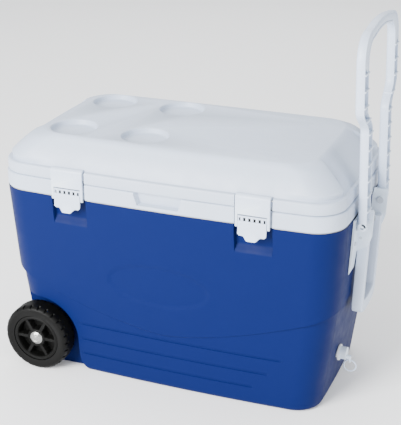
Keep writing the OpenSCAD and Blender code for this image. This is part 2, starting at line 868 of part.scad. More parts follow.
module lid_shell() {
    color(white) difference() {
        lid_form(0, flange_z);
        lid_cavity(0);
        cups();
        notches(flange_z - 1, flange_top + 1);
        barrel_rooms();
        for (side = [-1, 1]) latch_pin_line(side, latch_pin_d / 2 + play);
        hinge_screw_holes(flap_screw_z);
    }
}

tray_t = 5;
plug_size = mouth_size - [4, 4];

module plug_hollow(c) {
    loft([level(rim_z - plug_depth + 3 + c, plug_size - [6 + c, 6 + c]),
          level(flange_z + tray_t + 1, plug_size - [3 + c, 3 + c])], liner_r);
}

module lid_foam() {
    color(foam) {
        difference() {
            intersection() {
                lid_cavity(seat);
                translate([-rim_len, -rim_wid, flange_z + tray_t + seat])
                    cube([2 * rim_len, 2 * rim_wid, crown_h + flange_h]);
            }
            hinge_screw_holes(flap_screw_z);
        }
        plug_hollow(seat);
    }
}

gasket_in = 22;
gasket_w = 5;

module gasket_ring(z0, z1, c) {
    difference() {
        slab(z0, z1, a_rim - gasket_in + c, b_rim - gasket_in + c, corner_r - 12);
        slab(z0 - 1, z1 + 1, a_rim - gasket_in - gasket_w - c, b_rim - gasket_in - gasket_w - c,
             corner_r - 14);
    }
}

module lid_liner() {
    t = lid_skin + seat;
    color(white) difference() {
        union() {
            loft([level(flange_z, [lid_a - t, b_rim - t]),
                  level(flange_z + tray_t, [lid_a - t, b_rim - t])]);
            loft([level(rim_z - plug_depth, plug_size - [3, 3]), level(flange_z + 1, plug_size)],
                 liner_r);
        }
        notches(flange_z - 2, flange_top, t);
        gasket_ring(flange_z - 1, flange_z + 3, seat);
        plug_hollow(0);
    }
}

module lid_gasket() {
    color(rubber) gasket_ring(rim_z + 0.3, flange_z + 3, 0);
}

module hinge_flap_right() { color(white) hinge_flap(); }
module hinge_flap_left() { color(white) mirror([1, 0, 0]) hinge_flap(); }

module hinge_flap_screws() {
    color(steel) for (side = [0, 1]) mirror([side, 0, 0]) hinge_screws(flap_screw_z);
}

module latch_pin_left() { color(steel) latch_pin_line(-1, latch_pin_d / 2); }
module latch_pin_right() { color(steel) latch_pin_line(1, latch_pin_d / 2); }
module latch_plate_left() { color(white) latch_plate(-latch_x); }
module latch_plate_right() { color(white) latch_plate(latch_x); }
module latch_lever_left() { color(white) latch_lever(-latch_x); }
module latch_lever_right() { color(white) latch_lever(latch_x); }

module lever_pin(x) {
    color(steel) x_cylinder(x - latch_w / 2 + 1.8, x + latch_w / 2 - 1.8,
                            lever_pivot.x, lever_pivot.y, latch_pin_d / 2);
}

module lever_pin_left() { lever_pin(-latch_x); }
module lever_pin_right() { lever_pin(latch_x); }

// ---- handles ----

jog = [188, 219];                        // where the arms spread, above the pivot
top_sag = 8;                             // how far the top bar falls towards its corners
bar_t = 18;

// One half of an arch, from the foot of an arm to the middle of the top
function arch_half(low, high, top, r, foot) = concat(
    [[low, foot], [low, jog[0]], [high, jog[1]]],
    arc([high - r, top - top_sag - r + 1], r, 0, 80, 6),
    [for (i = [3:-1:0]) let (u = i / 4) [(high - r) * u, top - top_sag * u * u]]);

function mirrored(points) = [for (i = [len(points) - 1:-1:0]) [-points[i].x, points[i].y]];

module arch_band(t) {
    w = tow_arm_w;
    outer = arch_half(tow_low_wid / 2 - t, tow_wid / 2 - t, tow_h - t, 30 - t, 0);
    inner = arch_half(tow_low_wid / 2 - w + t, tow_wid / 2 - w + t, tow_h - bar_t + t, 14 + t, -1);
    difference() {
        polygon(concat(outer, mirrored(outer)));
        polygon(concat(inner, mirrored(inner)));
    }
}

module arch_plate(t, x0, x1) {
    translate([x0, 0, 0]) rotate([90, 0, 90]) linear_extrude(height = x1 - x0) arch_band(t);
}

channel_wall = 3;
rib_pitch = 29;
rib_count = floor((tow_h - 40) / rib_pitch);

module tow_handle() {
    half = tow_arm_d / 2;
    arm_out = tow_low_wid / 2;
    arm_in = arm_out - tow_arm_w;
    color(white) translate([tow_pivot.x, 0, tow_pivot.y]) rotate([0, -tow_lean, 0])
        difference() {
            union() {
                difference() {
                    arch_plate(0, -half, half);
                    arch_plate(channel_wall, -half + channel_wall, half + 1);
                }
                intersection() {
                    arch_plate(0, -half + 1, half + 2);
                    for (i = [1:rib_count])
                        translate([-half, -tow_wid, i * rib_pitch])
                            cube([tow_arm_d + 4, 2 * tow_wid, 2.5]);
                }
                for (side = [-1, 1])
                    across(0, 0, side > 0 ? arm_in : -arm_out, side > 0 ? arm_out : -arm_in,
                           half);
            }
            for (side = [-1, 1])
                across(0, 0, side > 0 ? arm_in - 1 : 3 - arm_out,
                       side > 0 ? arm_out - 3 : 1 - arm_in, tow_pin_d / 2 + play);
        }
}

grip_bar = 26;                           // height of a carry handle's bar
grip_bow = 4;
grip_lean = 0.038;
grip_depth = [6.3, 14.7];                // a carry handle's reach inward and outward of its pivot

module grip_outline() {
    corner = 16;
    inner = grip_y - grip_arm_w;
    difference() {
        polygon(concat(
            [[grip_y, 0]],
            arc([grip_y - corner, -grip_drop + grip_bow + corner], corner, 0, -80, 5),
            [[0, -grip_drop]],
            [for (p = mirrored(arc([grip_y - corner, -grip_drop + grip_bow + corner],
                                   corner, 0, -80, 5))) p],
            [[-grip_y, 0]]));
        polygon(concat(
            [[inner, 1]],
            arc([inner - 8, -grip_drop + grip_bar + 10], 8, 0, -80, 4),
            [[0, -grip_drop + grip_bar]],
            [for (p = mirrored(arc([inner - 8, -grip_drop + grip_bar + 10], 8, 0, -80, 4))) p],
            [[-inner, 1]]));
    }
}

module grip() {
    inner = grip_y - grip_arm_w;
    translate([grip_pivot.x, 0, grip_pivot.y]) difference() {
        union() {
            multmatrix([[1, 0, grip_lean, 0], [0, 1, 0, 0], [0, 0, 1, 0]])
                translate([-grip_depth[0], 0, 0]) rotate([90, 0, 90])
                    linear_extrude(height = grip_depth[0] + grip_depth[1]) grip_outline();
            for (side = [0, 1]) mirror([0, side, 0]) {
                across(0, 0, inner, grip_y, 8.2);
                translate([0, inner, -4]) cube([grip_depth[1], grip_arm_w, 4]);
            }
        }
        across(0, 0, -grip_y - 1, grip_y + 1, grip_pin_d / 2 + play);
    }
}

module carry_handle_right() { color(white) grip(); }
module carry_handle_left() { color(white) mirror([1, 0, 0]) grip(); }

tub_shell();
tub_foam();
tub_liner();
rim_collar();
latch_keeper_left();
latch_keeper_right();
hinge_base_left();
hinge_base_right();
hinge_pin_left();
hinge_pin_right();
hinge_base_screws();
handle_bracket_front();
handle_bracket_rear();
left_bracket_front();
left_bracket_rear();
bracket_screws();
tow_pin_front();
tow_pin_rear();
right_grip_pins();
left_grip_pins();
axle();
axle_sleeve();
wheel_spacers();
axle_cap_front();
axle_cap_rear();
drain_spout();
drain_seal();
drain_nut();
lid_shell();
lid_foam();
lid_liner();
lid_gasket();
hinge_flap_left();
hinge_flap_right();
hinge_flap_screws();
latch_pin_left();
latch_pin_right();
latch_plate_left();
latch_plate_right();
lever_pin_left();
lever_pin_right();
latch_lever_left();
latch_lever_right();
tow_handle();
carry_handle_right();
carry_handle_left();
tyre_front();
hub_front();
tyre_rear();
hub_rear();
drain_plug();
plug_seal();
drain_ring();
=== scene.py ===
"""Looks of a wheeled cooler box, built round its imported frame.

X runs along the box with the tow handle at +X, Y runs to the hinges at the back and Z is up.
Meshes are worked out in millimetres and handed to Blender in metres.
"""

from __future__ import annotations

import logging
import math
from dataclasses import dataclass
from enum import Enum
from typing import Callable, Sequence

import bmesh
import bpy
from mathutils import Matrix, Vector


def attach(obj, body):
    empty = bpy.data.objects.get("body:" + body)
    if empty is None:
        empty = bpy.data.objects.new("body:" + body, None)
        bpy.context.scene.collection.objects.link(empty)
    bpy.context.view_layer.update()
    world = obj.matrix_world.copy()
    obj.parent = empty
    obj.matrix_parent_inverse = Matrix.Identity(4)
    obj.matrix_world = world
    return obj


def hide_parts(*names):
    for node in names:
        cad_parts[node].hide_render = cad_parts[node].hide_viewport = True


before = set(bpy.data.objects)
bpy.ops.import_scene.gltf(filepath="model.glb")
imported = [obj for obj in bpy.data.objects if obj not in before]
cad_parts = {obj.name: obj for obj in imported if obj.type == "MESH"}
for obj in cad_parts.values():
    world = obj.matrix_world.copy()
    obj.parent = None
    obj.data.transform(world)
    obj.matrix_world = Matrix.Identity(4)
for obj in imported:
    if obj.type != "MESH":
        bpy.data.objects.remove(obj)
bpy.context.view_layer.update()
LOG = logging.getLogger("cooler")
MM = 0.001

Point = tuple[float, float, float]
Flat = tuple[float, float]


# ---------------------------------------------------------------- plain maths


def smooth(t: float) -> float:
    """Eases t from 0 to 1 with a level start and finish."""
    t = min(1.0, max(0.0, t))
    return t * t * (3.0 - 2.0 * t)


def arc(centre: Flat, radius: float, start: float, stop: float, steps: int) -> list[Flat]:
    """Points on an arc.

    Args:
        centre: Middle of the arc.
        radius: Its radius.
        start: First angle in degrees.
        stop: Last angle in degrees.
        steps: Number of pieces.

    Returns:
        steps + 1 points from start to stop.
    """
    angles = [math.radians(start + (stop - start) * i / steps) for i in range(steps + 1)]
    return [(centre[0] + radius * math.cos(t), centre[1] + radius * math.sin(t)) for t in angles]


def circle(radius: float, z: float, steps: int) -> list[Point]:
    """Points round a level circle about the Z axis."""
    angles = [2 * math.pi * i / steps for i in range(steps)]
    return [(radius * math.cos(t), radius * math.sin(t), z) for t in angles]


def spread(low: float, high: float, pitch: float) -> list[float]:
    """Even values from low to high, no further apart than pitch."""
    steps = max(1, math.ceil(abs(high - low) / pitch))
    return [low + (high - low) * i / steps for i in range(steps + 1)]


def stepped(points: Sequence[Flat], count: int) -> list[Flat]:
    """The same path with an even number of steps.

    Args:
        points: The path.
        count: Number of points in the result.

    Returns:
        The path again, evenly stepped.
    """
    lengths = [0.0]
    for (y0, z0), (y1, z1) in zip(points, points[1:]):
        lengths.append(lengths[-1] + math.hypot(y1 - y0, z1 - z0))
    made, k = [], 0
    for i in range(count):
        want = lengths[-1] * i / (count - 1)
        while k < len(points) - 2 and lengths[k + 1] < want:
            k += 1
        span = lengths[k + 1] - lengths[k]
        t = 0.0 if span == 0 else (want - lengths[k]) / span
        made.append((points[k][0] + (points[k + 1][0] - points[k][0]) * t,
                     points[k][1] + (points[k + 1][1] - points[k][1]) * t))
    return made


# ---------------------------------------------------------------- finishes


class Slot(Enum):
    """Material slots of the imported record.

    Attributes:
        BLUE: The tub's skin.
        WHITE: Everything moulded in white.
        BLACK: The tyres and the hubs.
        STEEL: The axle, its caps, the pins and the screws.
        RUBBER: The seals and the gasket.
        FOAM: The foam in the tub and the lid.
    """

    BLUE = "blue_plastic"
    WHITE = "white_plastic"
    BLACK = "black_plastic"
    STEEL = "steel"
    RUBBER = "rubber"
    FOAM = "foam"


@dataclass(frozen=True)
class Finish:
    """A moulded, foamed or turned surface with grain, mottling and painted edge highlights.

    Attributes:
        name: Name of the material.
        slot: Record slot that it stands for. Not used by this script.
        colour: Main colour, linear.
        shade: Share by which the mottled places are darker.
        roughness: Lowest and highest roughness.
        grain: Size of the fine grain, in millimetres.
        bump: Depth of the grain, in millimetres.
        metallic: Metalness.
        edge: How far sharp convex edges are mixed towards a lighter colour, a painted highlight.
        waviness: Depth of the slow unevenness of the surface, in millimetres.
        sheen: Specular level of the shader.
    """

    name: str
    slot: Slot
    colour: tuple[float, float, float]
    shade: float = 0.06
    roughness: tuple[float, float] = (0.38, 0.52)
    grain: float = 0.9
    bump: float = 0.03
    metallic: float = 0.0
    edge: float = 0.12
    waviness: float = 0.0
    sheen: float = 0.5

    def material(self) -> bpy.types.Material:
        """Returns the node material of this finish, made once."""
        made = bpy.data.materials.get(self.name)
        return made if made is not None else self._build()

    def _noise(self, tree: bpy.types.NodeTree, where: bpy.types.NodeSocket, size: float,
               detail: float) -> bpy.types.Node:
        """Adds a noise texture.

        Args:
            tree: Node tree that takes it.
            where: Socket with the coordinates.
            size: Size of its grains in millimetres.
            detail: Number of finer layers.

        Returns:
            The noise node.
        """
        node = tree.nodes.new("ShaderNodeTexNoise")
        node.inputs["Scale"].default_value = 1.0 / (size * MM)
        node.inputs["Detail"].default_value = detail
        node.inputs["Roughness"].default_value = 0.55
        tree.links.new(where, node.inputs["Vector"])
        return node

    def _build(self) -> bpy.types.Material:
        """Builds the nodes: mottled colour, uneven gloss, fine grain and a painted highlight on
        edges.

        Returns:
            The new material.
        """
        material = bpy.data.materials.new(self.name)
        material.use_nodes = True
        tree = material.node_tree
        shader = tree.nodes["Principled BSDF"]
        shader.inputs["Metallic"].default_value = self.metallic
        shader.inputs["Specular IOR Level"].default_value = self.sheen
        place = tree.nodes.new("ShaderNodeTexCoord").outputs["Object"]

        mottle = self._noise(tree, place, 60.0, 3.0)
        tint = tree.nodes.new("ShaderNodeMix")
        tint.data_type = "RGBA"
        dark = tuple(c * (1.0 - self.shade) for c in self.colour)
        tint.inputs[6].default_value = (*dark, 1.0)
        tint.inputs[7].default_value = (*self.colour, 1.0)
        tree.links.new(mottle.outputs["Fac"], tint.inputs[0])

        # Painted highlight: pointiness finds the sharp convex edges, whose colour is mixed
        # towards a lighter one.
        edge_highlight_geometry = tree.nodes.new("ShaderNodeNewGeometry")
        ramp = tree.nodes.new("ShaderNodeValToRGB")
        ramp.color_ramp.elements[0].position = 0.53
        ramp.color_ramp.elements[1].position = 0.64
        ramp.color_ramp.elements[1].color = (self.edge, self.edge, self.edge, 1.0)
        tree.links.new(edge_highlight_geometry.outputs["Pointiness"], ramp.inputs["Fac"])
        edge_highlight_mix = tree.nodes.new("ShaderNodeMix")
        edge_highlight_mix.data_type = "RGBA"
        light = tuple(min(1.0, c * 1.6 + 0.05) for c in self.colour)
        edge_highlight_mix.inputs[7].default_value = (*light, 1.0)
        tree.links.new(ramp.outputs["Color"], edge_highlight_mix.inputs[0])
        tree.links.new(tint.outputs[2], edge_highlight_mix.inputs[6])
        tree.links.new(edge_highlight_mix.outputs[2], shader.inputs["Base Color"])

        gloss = self._noise(tree, place, 25.0, 5.0)
        spread_node = tree.nodes.new("ShaderNodeMapRange")
        spread_node.inputs["From Min"].default_value = 0.3
        spread_node.inputs["From Max"].default_value = 0.7
        spread_node.inputs["To Min"].default_value = self.roughness[0]
        spread_node.inputs["To Max"].default_value = self.roughness[1]
        tree.links.new(gloss.outputs["Fac"], spread_node.inputs["Value"])
        tree.links.new(spread_node.outputs["Result"], shader.inputs["Roughness"])

        grain = self._noise(tree, place, self.grain, 2.0)
        bump = tree.nodes.new("ShaderNodeBump")
        bump.inputs["Strength"].default_value = 0.6
        bump.inputs["Distance"].default_value = self.bump * MM
        tree.links.new(grain.outputs["Fac"], bump.inputs["Height"])
        if self.waviness > 0.0:
            slow = self._noise(tree, place, 110.0, 1.0)
            wave = tree.nodes.new("ShaderNodeBump")
            wave.inputs["Strength"].default_value = 1.0
            wave.inputs["Distance"].default_value = self.waviness * MM
            tree.links.new(slow.outputs["Fac"], wave.inputs["Height"])
            tree.links.new(wave.outputs["Normal"], bump.inputs["Normal"])
        tree.links.new(bump.outputs["Normal"], shader.inputs["Normal"])
        return material


TUB_BLUE = Finish("tub_blue", Slot.BLUE, (0.0022, 0.0080, 0.068), roughness=(0.44, 0.56),
                  bump=0.02, waviness=0.8, edge=0.05, sheen=0.07)
LID_WHITE = Finish("lid_white", Slot.WHITE, (0.47, 0.54, 0.66), shade=0.06,
                   roughness=(0.40, 0.55), waviness=0.5, edge=0.35)
HANDLE_WHITE = Finish("handle_white", Slot.WHITE, (0.53, 0.61, 0.75), shade=0.05,
                      roughness=(0.34, 0.48), grain=0.7, edge=0.3)
LINER_WHITE = Finish("liner_white", Slot.WHITE, (0.70, 0.73, 0.76), shade=0.03,
                     roughness=(0.25, 0.40))
WHEEL_BLACK = Finish("wheel_black", Slot.BLACK, (0.0022, 0.0022, 0.002), shade=0.3,
                     roughness=(0.40, 0.58), grain=1.2, bump=0.05, edge=0.02, sheen=0.12)
CAP_STEEL = Finish("cap_steel", Slot.STEEL, (0.36, 0.36, 0.35), shade=0.3,
                   roughness=(0.22, 0.42), metallic=1.0, grain=0.5, bump=0.02)
PIN_COATED = Finish("pin_coated", Slot.STEEL, (0.44, 0.49, 0.56), shade=0.1,
                    roughness=(0.35, 0.5), grain=0.5, bump=0.02)
SEAL_RUBBER = Finish("seal_rubber", Slot.RUBBER, (0.08, 0.08, 0.085), shade=0.2,
                     roughness=(0.6, 0.8))
CORE_FOAM = Finish("core_foam", Slot.FOAM, (0.85, 0.78, 0.55), shade=0.12,
                   roughness=(0.8, 0.95), grain=1.6, bump=0.3)


# ---------------------------------------------------------------- mesh making


class Shape:
    """Points and faces of one piece, in millimetres.

    Attributes:
        points: Its points.
        faces: Numbers of the points round each face.
    """

    def __init__(self) -> None:
        """Starts with nothing."""
        self.points: list[Point] = []
        self.faces: list[list[int]] = []

    def ring(self, points: Sequence[Point]) -> list[int]:
        """Adds a row of points.

        Args:
            points: The points.

        Returns:
            Their numbers in the shape.
        """
        first = len(self.points)
        self.points.extend(points)
        return list(range(first, len(self.points)))

    def bridge(self, low: list[int], high: list[int], closed: bool = True) -> None:
        """Joins two rows of points with quads.

        Args:
            low: First row.
            high: Second row, of the same length.
            closed: Whether the last point joins the first.
        """
        count = len(low)
        for i in range(count if closed else count - 1):
            j = (i + 1) % count
            self.faces.append([low[i], low[j], high[j], high[i]])

    def rings(self, rows: Sequence[Sequence[Point]], closed: bool = True,
              caps: bool = True) -> None:
        """Lofts through rows of points.

        Args:
            rows: Rows of the same length.
            closed: Whether each row is a loop.
            caps: Whether the first and last rows are filled.
        """
        made = [self.ring(row) for row in rows]
        for low, high in zip(made, made[1:]):
            self.bridge(low, high, closed)
        if caps:
            self.faces.append(list(reversed(made[0])))
            self.faces.append(made[-1])

    def hoop(self, rows: Sequence[Sequence[Point]]) -> None:
        """Lofts through closed rows of points and back to the first one.

        Args:
            rows: Rows of the same length, such as the sections of a hollow ring.
        """
        made = [self.ring(row) for row in rows]
        for low, high in zip(made, made[1:] + made[:1]):
            self.bridge(low, high)

    def band(self, rows: Sequence[Sequence[Point]]) -> None:
        """Lofts through flat bands and closes both ends.

        Args:
            rows: Closed rows that run out along one edge and back along the other.
        """
        made = [self.ring(row) for row in rows]
        for low, high in zip(made, made[1:]):
            self.bridge(low, high)
        last = len(made[0]) - 1
        for row in (made[0], made[-1]):
            for i in range(last // 2):
                self.faces.append([row[i], row[i + 1], row[last - 1 - i], row[last - i]])

    def turned(self, profile: Sequence[Flat], steps: int,
               lift: Callable[[float, int], float] | None = None) -> None:
        """Turns a profile about Z.

        Args:
            profile: (radius, height) points; a radius of 0 closes the end.
            steps: Number of steps round.
            lift: Optional function of the angle and the profile point's number that
                gives the extra radius there.
        """
        rows = []
        for k, (r, z) in enumerate(profile):
            row = []
            for i in range(steps):
                t = 2.0 * math.pi * i / steps
                extra = lift(t, k) if lift is not None else 0.0
                row.append(((r + extra) * math.cos(t), (r + extra) * math.sin(t), z))
            rows.append(row)
        self.rings(rows, closed=True, caps=True)

    def prism(self, outline: Sequence[Flat], low: float, high: float) -> None:
        """Extrudes an outline along Z from low to high."""
        self.rings([[(x, y, low) for x, y in outline], [(x, y, high) for x, y in outline]])

    def object(self, name: str, turn: Matrix | None = None,
               crease: float = 32.0) -> bpy.types.Object:
        """Makes the Blender object.

        Args:
            name: Its name.
            turn: Optional move of the finished shape, in millimetres.
            crease: Angle in degrees above which an edge stays sharp.

        Returns:
            The object, linked into the scene.
        """
        mesh = bpy.data.meshes.new(name)
        mesh.from_pydata(self.points, [], self.faces)
        work = bmesh.new()
        work.from_mesh(mesh)
        bmesh.ops.remove_doubles(work, verts=work.verts, dist=1e-4)
        if turn is not None:
            work.transform(turn)
        work.transform(Matrix.Scale(MM, 4))
        bmesh.ops.recalc_face_normals(work, faces=work.faces)
        work.to_mesh(mesh)
        work.free()
        made = bpy.data.objects.new(name, mesh)
        bpy.context.scene.collection.objects.link(made)
        soften(made, crease)
        return made


def soften(made: bpy.types.Object, crease: float = 32.0) -> None:
    """Shades a piece smoothly and keeps edges above the crease angle sharp."""
    made.data.shade_smooth()
    made.data.set_sharp_from_angle(angle=math.radians(crease))


def settle(made: bpy.types.Object) -> None:
    """Applies a piece's modifiers.

    Args:
        made: The piece.
    """
    bpy.context.view_layer.update()
    graph = bpy.context.evaluated_depsgraph_get()
    mesh = bpy.data.meshes.new_from_object(made.evaluated_get(graph))
    made.modifiers.clear()
    made.data = mesh


def carve(made: bpy.types.Object, cutters: Sequence[bpy.types.Object],
          crease: float = 32.0) -> None:
    """Cuts pieces away from a piece, and removes the cutters.

    Args:
        made: The piece.
        cutters: Closed pieces to take away.
        crease: Angle in degrees above which an edge stays sharp.
    """
    for cutter in cutters:
        cut = made.modifiers.new("cut", "BOOLEAN")
        cut.operation = "DIFFERENCE"
        cut.solver = "EXACT"
        cut.object = cutter
    settle(made)
    for cutter in cutters:
        bpy.data.objects.remove(cutter)
    soften(made, crease)


def round_edges(made: bpy.types.Object, width: float, segments: int = 3,
                angle: float = 30.0) -> None:
    """Rounds the sharp edges of a piece.

    Args:
        made: The piece.
        width: Width of the rounding in millimetres.
        segments: Number of facets.
        angle: Edges sharper than this are rounded, in degrees.
    """
    bevel = made.modifiers.new("round", "BEVEL")
    bevel.width = width * MM
    bevel.segments = segments
    bevel.limit_method = "ANGLE"
    bevel.angle_limit = math.radians(angle)
    settle(made)
    soften(made, 40.0)


def place(made: bpy.types.Object, finish: Finish, body: str, *nodes: str) -> bpy.types.Object:
    """Dresses a piece, puts it on its body and lets it stand for CAD nodes.

    Args:
        made: The piece.
        finish: Its finish.
        body: Body that it moves with.
        nodes: CAD nodes that it replaces.

    Returns:
        The piece.
    """
    made.data.materials.clear()
    made.data.materials.append(finish.material())
    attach(made, body)
    if nodes:
        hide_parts(*nodes)
    LOG.info("built %s on %s", made.name, body)
    return made


def dress(finish: Finish, *nodes: str) -> None:
    """Gives a finish to CAD nodes that stay as they are.

    Args:
        finish: The finish.
        nodes: Names of the nodes.
    """
    for node in nodes:
        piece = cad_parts[node]
        piece.data.materials.clear()
        piece.data.materials.append(finish.material())
        LOG.info("dressed %s in %s", node, finish.name)


def box_cutter(name: str, low: Point, high: Point) -> bpy.types.Object:
    """Makes a plain block, to cut with.

    Args:
        name: Its name.
        low: Its low corner.
        high: Its high corner.

    Returns:
        The block.
    """
    shape = Shape()
    outline = [(low[0], low[1]), (high[0], low[1]), (high[0], high[1]), (low[0], high[1])]
    shape.prism(outline, low[2], high[2])
    return shape.object(name)


ALONG_X = Matrix(((0, 0, 1, 0), (1, 0, 0, 0), (0, 1, 0, 0), (0, 0, 0, 1)))


# ---------------------------------------------------------------- the rim's outline


@dataclass(frozen=True)
class Rim:
    """Plan of the cooler: a rounded rectangle with bowed sides.

    Attributes:
        half_length: Half the length at the rim.
        half_width: Half the width at the rim.
        corner: Radius of the corners.
        front_bow: How far the front bows out.
        back_bow: How far the back bows out.
        end_bow: How far each end bows out.
    """

    half_length: float = 344.5
    half_width: float = 188.5
    corner: float = 59.0
    front_bow: float = 11.0
    back_bow: float = 3.0
    end_bow: float = 5.0

    def outline(self, corner: float | None = None, front: Sequence[float] | None = None,
                pitch: float = 6.0) -> list[Flat]:
        """Points round the rim, counter-clockwise from the front's left.

        Args:
            corner: Another corner radius.
            front: Places along the front that must have a point.
            pitch: Largest step.

        Returns:
            The outline.
        """
        a, b = self.half_length, self.half_width
        r = self.corner if corner is None else corner
        x, y = a - r, b - r
        turn_front = math.degrees(math.atan(2 * self.front_bow * x / (a * a)))
        turn_back = math.degrees(math.atan(2 * self.back_bow * x / (a * a)))
        turn_end = math.degrees(math.atan(2 * self.end_bow * y / (b * b)))
        mid = x - self.end_bow * (y / b) ** 2
        low = y - self.front_bow * (x / a) ** 2
        high = y - self.back_bow * (x / a) ** 2
        steps = max(8, math.ceil(math.pi * r / 2 / pitch))
        along = list(front) if front is not None else spread(-x, x, pitch)[1:-1]
        back = spread(x, -x, pitch)[1:-1]
        side = spread(-y, y, pitch)[1:-1]
        points = [(u, -b + self.front_bow * (u / a) ** 2) for u in along]
        points += arc((mid, -low), r, turn_front - 90, -turn_end, steps)
        points += [(a - self.end_bow * (v / b) ** 2, v) for v in side]
        points += arc((mid, high), r, turn_end, 90 - turn_back, steps)
        points += [(u, b - self.back_bow * (u / a) ** 2) for u in back]
        points += arc((-mid, high), r, 90 + turn_back, 180 - turn_end, steps)
        points += [(-a + self.end_bow * (v / b) ** 2, v) for v in reversed(side)]
        points += arc((-mid, -low), r, 180 + turn_end, 270 - turn_front, steps)
        return points

    def scaled(self, outline: Sequence[Flat], half_length: float, half_width: float,
               z: float) -> list[Point]:
        """The outline at another size and a height.

        Args:
            outline: Points round the rim.
            half_length: Half-length of the result.
            half_width: Half-width of the result.
            z: Its height.

        Returns:
            The ring of points.
        """
        sx, sy = half_length / self.half_length, half_width / self.half_width
        return [(x * sx, y * sy, z) for x, y in outline]


RIM = Rim()
TUB_TOP = 388.0
RIM_TOP = 419.6
FLANGE_LOW = 420.4
FLANGE_TOP = 443.8
CROWN_TOP = 497.8
LATCH_X = 184.5
NOTCH_HALF = 35.5
NOTCH_DEPTH = 6.0
LATCH_FRONT = -(RIM.half_width - RIM.front_bow * (LATCH_X / RIM.half_length) ** 2)


# ---------------------------------------------------------------- tub


